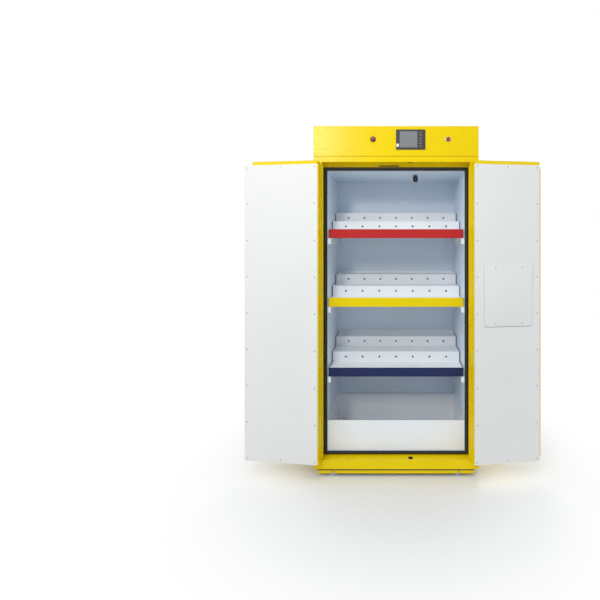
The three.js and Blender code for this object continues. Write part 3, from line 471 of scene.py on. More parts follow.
def plated_metal(name, colour, roughness):
    """Plated metal: chrome, zinc or nickel laid on in a bath.

    A bright skin with faint clouds, about 12 mm across, where the bath left it duller.
    """
    cloud_mm = 12
    material, tree, coordinates = new_material(name)
    cloud = noise(tree, coordinates, 1 / (cloud_mm * MM), 3.0)
    return principled(material, {
        "Base Color": blend_colours(tree, cloud, tint(colour, 0.85), colour),
        "Metallic": 1.0,
        "Roughness": spread(tree, cloud, roughness, roughness + 0.08),
    })


def moulded_plastic(name, colour, roughness, coat=0.0):
    """Injection-moulded plastic: it takes the fine grain that was etched into its mould.

    The grain scatters the light, so that the colour looks even and the highlights are soft.
    """
    grain_mm, grain_height_mm = 2.5, 0.04
    material, tree, coordinates = new_material(name)
    grain = add_node(tree, "ShaderNodeTexVoronoi", {"Vector": coordinates, "Scale": 1 / (grain_mm * MM)})
    cloud = noise(tree, coordinates, 40.0)
    return principled(material, {
        "Base Color": blend_colours(tree, cloud, tint(colour, 0.88), colour),
        "Roughness": roughness,
        "IOR": 1.49,
        "Normal": relief(tree, grain.outputs["Distance"], grain_height_mm),
        "Coat Weight": coat,
        "Coat Roughness": 0.05,
    })


def sponge_rubber(name, colour):
    """Extruded sponge rubber: foamed behind a thin skin.

    Closed cells, about 2 mm across, just under the skin make it dull and finely pitted.
    """
    cell_mm = 2.0
    material, tree, coordinates = new_material(name)
    cells = noise(tree, coordinates, 1 / (cell_mm * MM), 3.0, 0.7)
    return principled(material, {
        "Base Color": blend_colours(tree, cells, tint(colour, 0.6), tint(colour, 1.3)),
        "Roughness": 0.75,
        "IOR": 1.52,
        "Normal": relief(tree, cells, 0.15),
    })


def display_glass(name, colour):
    """Unlit liquid-crystal screen: a grey panel under a hard clear cover.

    Its rows of pixels lie under a gloss that mirrors the room. The real rows are about 0.3 mm apart; they are
    drawn 7.5 mm apart so that they show, because the wave turns through 20 radians in a unit of its scale.
    """
    radian_mm, unit_radians = 1.2, 20
    material, tree, coordinates = new_material(name)
    rows = add_node(tree, "ShaderNodeTexWave", {
        "Vector": coordinates, "Scale": 1 / (radian_mm * unit_radians * MM), "Distortion": 0.0,
    }, bands_direction="Z")
    tone = add_node(tree, "ShaderNodeMath", {
        0: rows.outputs["Fac"], 1: noise(tree, coordinates, 14.0, 1.0),
    }, operation="MULTIPLY")
    return principled(material, {
        "Base Color": blend_colours(tree, tone.outputs[0], tint(colour, 0.86), tint(colour, 1.12)),
        "Roughness": 0.25,
        "IOR": 1.5,
        "Coat Weight": 1.0,
        "Coat Roughness": 0.04,
    })


def clear_lens(name, colour):
    """Cast clear plastic, dyed red: light goes in, is coloured, and comes back from the ribs inside."""
    material, tree, coordinates = new_material(name)
    depth = noise(tree, coordinates, 160.0, 1.0)
    return principled(material, {
        "Base Color": blend_colours(tree, depth, tint(colour, 0.7), tint(colour, 1.25)),
        "Roughness": 0.12,
        "IOR": 1.49,
        "Transmission Weight": 0.25,
        "Coat Weight": 0.6,
        "Coat Roughness": 0.03,
    })


def printed_card(name, colour):
    """Printed vinyl sheet: flat ink under a satin film, stuck down with faint ripples."""
    material, tree, coordinates = new_material(name)
    ripple = noise(tree, coordinates, 18.0)
    return principled(material, {
        "Base Color": blend_colours(tree, ripple, tint(colour, 0.94), colour),
        "Roughness": 0.4,
        "Normal": relief(tree, ripple, 0.3),
    })


FINISHES = {
    "yellow_enamel": lambda c: powder_coat(
        "yellow_powder_coat", c.yellow, 0.24, shine=0.18, peel_mm=15, peel_height_mm=0.5,
    ),
    # The liner's pale blue-grey is in part painted shade: the blue that the inside of the box takes in shade
    "liner_enamel": lambda c: powder_coat("liner_blue_shade_powder_coat", c.liner, 0.32, peel_height_mm=0.012),
    "shelf_enamel": lambda c: powder_coat("shelf_powder_coat", c.shelf, 0.34, peel_height_mm=0.02),
    "panel_white": lambda c: powder_coat("white_powder_coat", c.lining, 0.5, drift_share=0.97),
    "red_strip": lambda c: powder_coat("red_powder_coat", c.red_strip, 0.36, shine=0.14),
    "yellow_strip": lambda c: powder_coat("yellow_strip_powder_coat", c.yellow_strip, 0.36, shine=0.14),
    "blue_strip": lambda c: powder_coat("navy_powder_coat", c.blue_strip, 0.36, shine=0.14),
    "seal_rubber": lambda c: sponge_rubber("sponge_rubber", c.rubber),
    "black_plastic": lambda c: moulded_plastic("black_moulded_nylon", to_linear("232427"), 0.5),
    "grey_plastic": lambda c: moulded_plastic("grey_moulded_abs", c.bezel, 0.45),
    "screen": lambda c: display_glass("display_glass", c.screen),
    "lamp_red": lambda c: clear_lens("red_cast_acrylic", c.lamp),
    "button_red": lambda c: moulded_plastic("red_moulded_abs", c.button, 0.3, coat=0.5),
    # The chrome is set darker than bright chrome: the darkening is a painted reflection of a dark room
    "chrome": lambda c: plated_metal("chrome_plate_dark_reflection", to_linear("B7B9BB"), 0.1),
    "stainless": lambda c: brushed_metal("brushed_stainless", to_linear("C9CBCC"), 0.3),
    "zinc_steel": lambda c: plated_metal("zinc_plate", to_linear("B9BAB6"), 0.32),
    "key_nickel": lambda c: plated_metal("nickel_plate", to_linear("C2BEB4"), 0.22),
    "bare_metal": lambda c: brushed_metal("mill_finish_aluminium", to_linear("B4B6B8"), 0.4),
    "wheel_nylon": lambda c: moulded_plastic("cast_nylon", to_linear("C3C7CA"), 0.42),
}
made_finishes = {}


def finish(slot):
    """The material of a slot, made once."""
    if slot not in made_finishes:
        made_finishes[slot] = FINISHES[slot](bpy.context.scene.cabinet_colours)
    return made_finishes[slot]


# Settings that a user would change

def colour_setting(name, description, hex_text):
    """A colour of the panel."""
    return bpy.props.FloatVectorProperty(
        name=name, description=description, subtype="COLOR", size=3, min=0, max=1,
        default=to_linear(hex_text),
    )


def length_setting(name, description, millimetres):
    """A length of the panel, kept in metres."""
    return bpy.props.FloatProperty(
        name=name, description=description, unit="LENGTH", min=0, default=millimetres * MM, precision=5,
    )


class CabinetColours(bpy.types.PropertyGroup):
    """Colours of the cabinet's finishes."""

    yellow: colour_setting("Yellow enamel", "Powder coat of the shell, doors and housing", "F2D200")
    # Bluer and darker than the shelves' white, in part as painted blue shade of the box's inside
    liner: colour_setting("Liner", "Powder coat of the inner box", "DAE6F4")
    shelf: colour_setting("Shelves", "Powder coat of the shelves, rails and spill tray", "F1F4F9")
    lining: colour_setting("Door lining", "Powder coat of the doors' inner panels", "E7E6E3")
    red_strip: colour_setting("Top strip", "Front strip of the top shelf", "BE2C2C")
    yellow_strip: colour_setting("Middle strip", "Front strip of the middle shelf", "EBD204")
    blue_strip: colour_setting("Bottom strip", "Front strip of the bottom shelf", "26305A")
    rubber: colour_setting("Seal", "Sponge rubber of the door seal", "232426")
    bezel: colour_setting("Display bezel", "Moulded case of the display", "2A2A2D")
    screen: colour_setting("Screen", "Unlit display", "77797B")
    lamp: colour_setting("Alarm lamp", "Lens of the lamp", "8E1F1C")
    button: colour_setting("Push button", "Cap of the button", "9C1420")
    label_red: colour_setting("Red placard", "Blank placard", "B4272B")
    label_white: colour_setting("White placard", "Blank placard", "F0F0EE")


class CabinetSizes(bpy.types.PropertyGroup):
    """Sizes of the fine pieces."""

    screw_pitch: length_setting("Screw pitch", "Between the screws down the door lining", 195.2)
    screw_radius: length_setting("Screw head radius", "Pan heads of the lining's screws", 4.2)
    screw_margin: length_setting("Screw margin", "From the lining's edge to its screws", 14)
    bend_radius: length_setting("Bend radius", "Inside radius of the shelves' bends", 1.0)
    edge_rounding: length_setting("Edge rounding", "Rounding of painted sheet edges", 0.6)
    knuckle_pitch: length_setting("Hinge knuckle", "Length of one knuckle of the hinges", 31.8)
    seal_bulb: length_setting("Seal bulb", "Width of the seal's hollow bulb", 13)
    lamp_power: bpy.props.FloatProperty(
        name="Lamp power", description="Power that the stage's lamps are shares of", unit="POWER", min=0,
        default=60,
    )


def mm(value):
    """A length setting in millimetres."""
    return value / MM


# Operators: one for each piece or group of like pieces

class CABINET_OT_stage(bpy.types.Operator):
    """Camera at the photograph's place, soft lamps, a white world and a pale floor"""

    bl_idname = "cabinet.stage"
    bl_label = "Stage"

    camera_distance, camera_height = 2150, 1262
    lens, shift = 23.7, (-0.160, -0.09)
    # Each lamp's place, the height that it aims at, its size, all in metres, and its share of the power
    lamps = {
        "ceiling_lamp": ((-0.5, -2.2, 4.3), 1.0, 2.6, 0.96),
        "side_lamp": ((-2.9, -3.0, 2.0), 1.0, 1.6, 0.25),
        "fill_lamp": ((2.6, -3.0, 1.6), 1.0, 1.6, 0.13),
        "sheen_lamp": ((-1.0, -3.0, 2.6), 1.6, 0.42, 0.42),
        "back_lamp": ((0.8, 3.6, 3.2), 1.0, 2.4, 1.2),
    }

    def execute(self, context):
        scene = context.scene
        scene.view_settings.view_transform = "Standard"
        data = bpy.data.cameras.new("photo_camera")
        data.sensor_width = 36
        data.lens = self.lens
        data.shift_x, data.shift_y = self.shift
        camera = bpy.data.objects.new("photo_camera", data)
        camera.location = (0.0, (FRONT_Y - self.camera_distance) * MM, self.camera_height * MM)
        camera.rotation_euler = (math.pi / 2, 0, 0)
        scene.collection.objects.link(camera)
        scene.camera = camera
        for name, (place, aim_height, size, share) in self.lamps.items():
            self.lamp(scene, name, place, (0, 0, aim_height), size, scene.cabinet_sizes.lamp_power * share)
        self.world(scene)
        self.floor(scene)
        return {"FINISHED"}

    def lamp(self, scene, name, place, target, size, power):
        """A square area lamp that faces a point."""
        data = bpy.data.lights.new(name, "AREA")
        data.energy = power
        data.color = (1, 0.97, 0.92)
        data.size = size
        lamp = bpy.data.objects.new(name, data)
        lamp.location = place
        aim = np.array(target) - np.array(place)
        lamp.rotation_euler = (
            math.acos(-aim[2] / np.linalg.norm(aim)), 0, math.atan2(aim[1], aim[0]) - math.pi / 2,
        )
        scene.collection.objects.link(lamp)

    def seen_directly(self, tree):
        """1 for rays from the camera, reflections and transmission, and 0 for diffuse light."""
        path = add_node(tree, "ShaderNodeLightPath")
        shiny = add_node(tree, "ShaderNodeMath", {
            0: path.outputs["Is Glossy Ray"], 1: path.outputs["Is Transmission Ray"],
        }, operation="MAXIMUM")
        return add_node(tree, "ShaderNodeMath", {
            0: path.outputs["Is Camera Ray"], 1: shiny.outputs[0],
        }, operation="MAXIMUM").outputs[0]

    def world(self, scene):
        """White where it is seen or mirrored, and a softer even light on the object."""
        world = bpy.data.worlds.new("white_room")
        world.use_nodes = True
        tree = world.node_tree
        tree.nodes.clear()
        shown = add_node(tree, "ShaderNodeBackground", {"Color": (1, 1, 1, 1), "Strength": 1.0})
        light = add_node(tree, "ShaderNodeBackground", {"Color": (0.76, 0.88, 1, 1), "Strength": 0.50})
        mix = add_node(tree, "ShaderNodeMixShader", {
            0: self.seen_directly(tree), 1: light.outputs[0], 2: shown.outputs[0],
        })
        add_node(tree, "ShaderNodeOutputWorld", {"Surface": mix.outputs[0]})
        scene.world = world

    def floor(self, scene):
        """A pale disc that fades to the world's white: white share = smooth step of the radius."""
        reach, under, fade_start, fade_end = 9000, -0.5, 0.35, 1.3
        radius = np.linspace(0, reach, 25)
        turn = np.arange(64) * 2 * np.pi / 64
        points = np.stack([
            radius[:, None] * np.cos(turn), radius[:, None] * np.sin(turn),
            np.full((len(radius), len(turn)), under),
        ], axis=-1)
        flat, faces = grid(points, closed_columns=True)
        mesh = bpy.data.meshes.new("studio_floor")
        mesh.from_pydata((flat * MM).tolist(), [], faces[0].tolist())
        material, tree, coordinates = new_material("pale_floor")
        away = add_node(tree, "ShaderNodeVectorMath", {0: coordinates}, operation="LENGTH")
        share = add_node(tree, "ShaderNodeMapRange", {
            "Value": away.outputs["Value"], "From Min": fade_start, "From Max": fade_end,
        }, interpolation_type="SMOOTHSTEP")
        speckle = noise(tree, coordinates, 30.0)
        paint = add_node(tree, "ShaderNodeBsdfPrincipled", {
            "Base Color": blend_colours(tree, speckle, (0.90, 0.90, 0.90), (0.93, 0.93, 0.93)),
            "Roughness": 0.7,
        })
        white = add_node(tree, "ShaderNodeEmission", {"Color": (1, 1, 1, 1), "Strength": 1.0})
        seen = add_node(tree, "ShaderNodeMath", {
            0: self.seen_directly(tree), 1: share.outputs[0],
        }, operation="MULTIPLY")
        mix = add_node(tree, "ShaderNodeMixShader", {
            0: seen.outputs[0], 1: paint.outputs[0], 2: white.outputs[0],
        })
        mesh.materials.append(close_material(material, mix))
        floor = bpy.data.objects.new("studio_floor", mesh)
        scene.collection.objects.link(floor)


class CABINET_OT_finishes(bpy.types.Operator):
    """Gives each CAD piece the finish of its slot in the record"""

    bl_idname = "cabinet.finishes"
    bl_label = "Finishes"

    def execute(self, context):
        for node, slot in NODE_SLOT.items():
            materials = frame["nodes"][node].data.materials
            materials.clear()
            materials.append(finish(slot))
        return {"FINISHED"}


class CABINET_OT_sheet_metal(bpy.types.Operator):
    """Painted sheet pieces with their edges rounded: shell, rails, plinth, housing, doors and tray"""

    bl_idname = "cabinet.sheet_metal"
    bl_label = "Painted sheet metal"

    fascia_seam = 1.4

    def execute(self, context):
        rounding = mm(context.scene.cabinet_sizes.edge_rounding)
        for node in (
            "left_side_panel", "right_side_panel", "header_rail", "sill_rail", "plinth", "top_housing",
            "fascia_panel", "left_door_shell", "right_door_shell", "left_door_inner_panel",
            "right_door_inner_panel", "spill_tray",
        ):
            soften(node, f"{node}_form", rounding, self.fascia_seam if node == "fascia_panel" else 0)
        for name, side in SIDES.items():
            self.door_rim(name, side)
        return {"FINISHED"}

    def door_rim(self, name, side):
        """The door shell's rim, turned in behind the lining, which its screws bite into.

        Its outline steps in at the top corner beside the hinge, as the shell's does.
        """
        start, end, low, high, notch = 3.8, 368.2, DOOR_BOTTOM + 1.8, DOOR_TOP - 1.8, DOOR_TOP - 21.8
        step, width, near, far = 9.8, 21, -48.4, -49.9
        outer = np.array([
            (start, low), (end, low), (end, high), (step, high), (step, notch), (start, notch),
        ])
        inner = np.array([
            (start + width, low + width), (end - width, low + width), (end - width, high - width),
            (start + width, high - width), (start + width, high - width - 1), (start + width, notch - width),
        ])
        body = rings(
            [(outer, near), (outer, far), (inner, far), (inner, near)], on_skin(side, 0, 0), closed=True,
        )
        make_piece(f"{name}_door_rim", body, "yellow_enamel", f"{name}_door", rounding=0.3)


class CABINET_OT_hinges(bpy.types.Operator):
    """Continuous hinges: two leaves with alternate knuckles on one pin"""

    bl_idname = "cabinet.hinges"
    bl_label = "Continuous hinges"

    knuckle, gap, chamfer = 4.5, 0.25, 0.3
    leaf_near, leaf_far = 0.4, 1.6

    def execute(self, context):
        low, high = (corner[2] for corner in span("right_frame_leaf"))
        count = 2 * round((high - low) / mm(context.scene.cabinet_sizes.knuckle_pitch) / 2)
        pitch = (high - low) / count
        starts = low + pitch * np.arange(count)
        for name, side in SIDES.items():
            on_frame = lambda a, b, depth: np.stack([side * (HINGE_X + a), HINGE_Y + b, depth], axis=-1)
            on_door = lambda a, b, depth: door_points(side, a, b - HINGE_STANDOFF, depth)
            for part, place, first in (("frame", on_frame, 0), ("door", on_door, 1)):
                node = f"{name}_{part}_leaf"
                surface = self.leaf(place, low, high, pitch, starts[first::2])
                make_piece(f"{name}_{part}_hinge_leaf", surface, NODE_SLOT[node], NODE_BODY[node], (node,))
            pin = turned([
                (0, low - 0.6), (2.6, low - 0.6), (3.4, low - 0.2), (2.5, low), (2.5, high),
                (3.4, high + 0.2), (2.6, high + 0.6), (0, high + 0.6),
            ], on_frame, sides=20)
            make_piece(f"{name}_hinge_pin_rod", pin, "zinc_steel", replaces=(f"{name}_hinge_pin",))
        return {"FINISHED"}

    def leaf(self, place, low, high, pitch, starts):
        """A flat leaf from low to high, and at each start a tab that ends in a knuckle round the pin."""
        knuckle, gap, chamfer = self.knuckle, self.gap, self.chamfer
        curl = turned([
            (0, gap), (knuckle - chamfer, gap), (knuckle, gap + chamfer),
            (knuckle, pitch - gap - chamfer), (knuckle - chamfer, pitch - gap), (0, pitch - gap),
        ], place, sides=24)
        thickness, middle = self.leaf_far - self.leaf_near, (self.leaf_near + self.leaf_far) / 2
        outline = rounded_rectangle(thickness, 31, 0.3, 3, (middle, 19.5))
        tab = rounded_rectangle(thickness, 6, 0.1, 3, (middle, 3.5))
        tabs = rings([(tab, gap), (tab, pitch - gap)], place)
        lifts = np.zeros((len(starts), 3))
        lifts[:, 2] = starts
        flat = rings([(outline, low), (outline, high)], place)
        return together(flat, repeated(curl, lifts), repeated(tabs, lifts))


class CABINET_OT_door_seal(bpy.types.Operator):
    """Sponge-rubber seal round the doorway, mitred at its corners"""

    bl_idname = "cabinet.door_seal"
    bl_label = "Door seal"

    base, strip, lip, top_drop = 2.0, 20.0, 1.2, 4

    def execute(self, context):
        low, high = span("door_seal")
        # Its top limb sits a little lower than the solid's, where the header's lower edge ends
        high[2] = high[2] - self.top_drop
        width, height, depth = high[0] - low[0], high[2] - low[2], high[1] - low[1]
        bulb = mm(context.scene.cabinet_sizes.seal_bulb)
        base, strip, lip = self.base, self.strip, self.lip
        turn = np.linspace(0, np.pi, 17)
        # Section: a flat foot, a lip at each edge, and between them half an ellipse of the bulb's width
        inset = np.concatenate([
            [0, 0, lip], strip / 2 - bulb / 2 * np.cos(turn), [strip - lip, strip, strip],
        ])
        lift = np.concatenate([
            [0, base, base + 0.6], base + (depth - base) * np.sin(turn), [base + 0.6, base, 0],
        ])
        levels = plates(
            [(width - 2 * a, height - 2 * a, 0.01, b) for a, b in zip(inset, lift)], steps=2,
        )
        place = facing_front((low[0] + high[0]) / 2, high[1], (low[2] + high[2]) / 2)
        body = rings(levels, place, closed=True)
        make_piece("bulb_door_seal", body, "seal_rubber", replaces=("door_seal",), smooth_angle=35)
        return {"FINISHED"}


class CABINET_OT_shelves(bpy.types.Operator):
    """Three stepped shelves, each folded from one sheet with holes in both risers, and their front strips"""

    bl_idname = "cabinet.shelves"
    bl_label = "Stepped shelves"

    sheet, lip, stand, lip_top, rise = 1.2, 50.4, 7.0, 8.0, 60.0
    treads = (140.0, 137.0, 115.0)
    holes, hole_radius, end_margin, window = 7, 4.25, 78.5, 26.0

    def execute(self, context):
        bend = mm(context.scene.cabinet_sizes.bend_radius)
        for level in ("bottom", "middle", "top"):
            low, high = span(f"{level}_shelf")
            make_piece(
                f"{level}_stepped_shelf", self.shelf(low, high, bend), "shelf_enamel",
                replaces=(f"{level}_shelf",), rounding=0.3, smooth_angle=30,
            )
            # Dark strips at the shelf's ends are painted shadow of the gaps beside it
            make_piece(f"{level}_shelf_end_strips", self.gap_shade_strips(low, high), "seal_rubber")
            # Black plugs in the riser holes are painted shade seen through them
            make_piece(f"{level}_shelf_plugs", self.shade_plugs(low, high), "black_plastic")
            for name in SIDES:
                self.rail_end(f"{name}_{level}_shelf_rail")
        for colour in ("red", "yellow", "blue"):
            low, high = span(f"{colour}_shelf_strip")
            centre = (low + high) / 2
            width, thickness, height = high - low
            body = rings(plates([
                (width, height, 1.0, 0), (width, height, 1.0, thickness - 0.3),
                (width - 0.6, height - 0.6, 0.7, thickness),
            ]), facing_front(centre[0], high[1], centre[2]))
            make_piece(
                f"{colour}_front_strip", body, f"{colour}_strip", replaces=(f"{colour}_shelf_strip",),
            )
        return {"FINISHED"}

    def rail_end(self, node):
        """The rail's front tab, bent in across its end; it shows as a white block under the strip's end."""
        low, high = span(node)
        centre = (low + high) / 2
        width, height = (high - low)[[0, 2]]
        levels = plates([(width - 0.4, height - 0.6, 1.5, depth) for depth in (0.2, 1.6)])
        make_piece(f"{node}_end", rings(levels, facing_front(centre[0], low[1], centre[2])), "shelf_enamel")

    def profile(self, low, high):
        """Path of the folded sheet over (y, z): lip, its top, and three treads with the risers between."""
        front, top = low[1], low[2] + self.lip
        tread = top - self.stand
        edges = front + np.cumsum(self.treads)
        return [
            (front, low[2]), (front, top), (front + self.lip_top, top), (front + self.lip_top, tread),
            (edges[0], tread), (edges[0], tread + self.rise), (edges[1], tread + self.rise),
            (edges[1], tread + 2 * self.rise), (edges[2], tread + 2 * self.rise), (edges[2], high[2]),
        ]

    def gap_shade_strips(self, low, high):
        """Dark sponge strips in the gap between the shelf's ends and the liner's walls: a painted shadow of that
        gap.

        Each follows the sheet's path from the first tread on, as a band set 1.5 mm under it.
        """
        path = np.array(self.profile(low, high)[3:9]) + [1.5, -3.0]
        place = lambda y, z, x: np.stack([x, y, z], axis=-1)
        near, far = high[0] + 0.4, high[0] + 4.9
        return together(*(
            bent_sheet(path, 2.5, 0.6, *sorted((side * near, side * far)), place) for side in SIDES.values()
        ))

    def shade_plugs(self, low, high):
        """Black snap plugs pushed into the riser holes, with a low head in front and a barb behind; their black is
        painted shade seen through the holes.
        """
        tread = low[2] + self.lip - self.stand
        risers = low[1] + np.cumsum(self.treads)[:2]
        places = [(risers[0], tread + self.rise / 2), (risers[1], tread + self.rise * 1.5)]
        across = np.linspace(low[0] + self.end_margin, high[0] - self.end_margin, self.holes)
        plug = turned([
            (0.01, 1.0), (4.4, 0.9), (5.6, 0.4), (5.6, 0.05), (4.1, 0.05), (4.1, -3.4), (5.4, -3.5),
            (5.4, -4.4), (0.01, -4.4),
        ], facing_front(0, 0, 0), sides=16)
        return repeated(plug, [(x, y, z) for y, z in places for x in across])

    def shelf(self, low, high, bend):
        """A bent sheet over (y, z), drawn out along x, with round holes through both risers.

        The grid's columns follow the fold and its rows run along x. Where a hole goes through, one quad of
        each face is left out, and a ring of triangles joins its four corners to the hole's rim.
        """
        steps = 4
        near, far = fold(self.profile(low, high), self.sheet, bend, steps)
        half = high[0]
        holes = np.linspace(self.end_margin - half, half - self.end_margin, self.holes)
        rows = np.sort(np.concatenate([[-half, half], holes - self.window / 2, holes + self.window / 2]))
        y, z = (np.stack([near[:, k], far[:, k]])[:, None] + 0 * rows[None, :, None] for k in (0, 1))
        points = np.stack([0 * y + rows[None, :, None], y, z], axis=-1)
        index = np.arange(y.size).reshape(y.shape)
        quads = np.stack([
            index[:, :-1, :-1], index[:, 1:, :-1], index[:, 1:, 1:], index[:, :-1, 1:],
        ], axis=-1)
        # Column of each riser's flat: after corner k of the path come k arcs of the given steps
        risers = np.array([5, 7]) * steps - steps
        solid = np.ones(quads.shape[:3], dtype=bool)
        solid[:, 1:-1:2, risers] = False
        rims = [index[:, :, 0], index[:, :, -1], index[:, 0], index[:, -1]]
        edges = [np.stack([rim[0, :-1], rim[0, 1:], rim[1, 1:], rim[1, :-1]], axis=-1) for rim in rims]
        flat_points = points.reshape(-1, 3)
        corners = quads[:, 1:-1:2][:, :, risers]
        return together(
            (flat_points, [quads[solid].reshape(-1, 4)] + edges),
            *(self.hole_rims(flat_points[corners[:, :, riser]]) for riser in range(len(risers))),
        )

    def hole_rims(self, corners, sides=16):
        """Both faces round a hole in each window, and the hole's wall.

        corners is (2 faces, windows, 4, xyz). A rim point is the window's middle plus radius times
        (cos a) along x and (sin a) up; each corner fans to its quarter of the rim.
        """
        faces, windows = corners.shape[:2]
        middle = corners.mean(axis=2)
        across = corners[:, :, 1] - corners[:, :, 0]
        up = corners[:, :, 3] - corners[:, :, 0]
        across = across / np.linalg.norm(across, axis=-1, keepdims=True)
        up = up / np.linalg.norm(up, axis=-1, keepdims=True)
        turn = np.arange(sides) * 2 * np.pi / sides - 3 * np.pi / 4
        rim = middle[:, :, None] + self.hole_radius * (
            np.cos(turn)[:, None] * across[:, :, None] + np.sin(turn)[:, None] * up[:, :, None]
        )
        points = np.concatenate([corners, rim], axis=2)
        size = points.shape[2]
        start = (np.arange(faces * windows) * size).reshape(faces, windows)
        ring = 4 + np.arange(sides)
        after = np.roll(ring, -1)
        quarter = (np.arange(sides) + sides // 8) // (sides // 4) % 4
        fans = np.stack([quarter, ring, after], axis=-1)
        bridge = 4 + (np.arange(4) * sides // 4 + sides // 8)
        bridges = np.stack([np.arange(4), (np.arange(4) + 1) % 4, bridge], axis=-1)
        triangles = np.vstack([fans, bridges])
        triangles = (triangles[None, None] + start[:, :, None, None]).reshape(-1, 3)
        front, back = start[:, :, None]
        wall = np.stack([ring + front, after + front, after + back, ring + back], axis=-1).reshape(-1, 4)
        return points.reshape(-1, 3), [triangles, wall]


class CABINET_OT_pulls(bpy.types.Operator):
    """Flush pulls: a chromed frame with bevelled edges over a finger slot and its cup"""

    bl_idname = "cabinet.pulls"
    bl_label = "Flush pulls"

    def execute(self, context):
        for name, side in SIDES.items():
            place = on_skin(side, PULL_REACH, PULL_Z)
            body = rings(plates([
                (39, 105, 6, -14), (39, 105, 6, -3), (22, 98, 10.9, -3), (22, 98, 10.9, 0.7),
                (24, 100, 11.9, 1.5), (25, 101, 12.4, 1.8), (47, 113, 3.4, 1.8), (49, 115, 4.2, 1.4),
                (50, 116, 4.6, 0.9), (50, 116, 4.6, 0.3), (42, 108, 7, 0.3), (42, 108, 7, -15.5),
            ], steps=8), place)
            make_piece(
                f"{name}_flush_pull", body, "chrome", f"{name}_door", (f"{name}_door_pull",),
                smooth_angle=25,
            )
            liner = rings(plates([(38.4, 104.4, 6, -13.8), (38.4, 104.4, 6, -13.2)], steps=8), place)
            make_piece(f"{name}_pull_cup_liner", liner, "black_plastic", f"{name}_door")
        return {"FINISHED"}


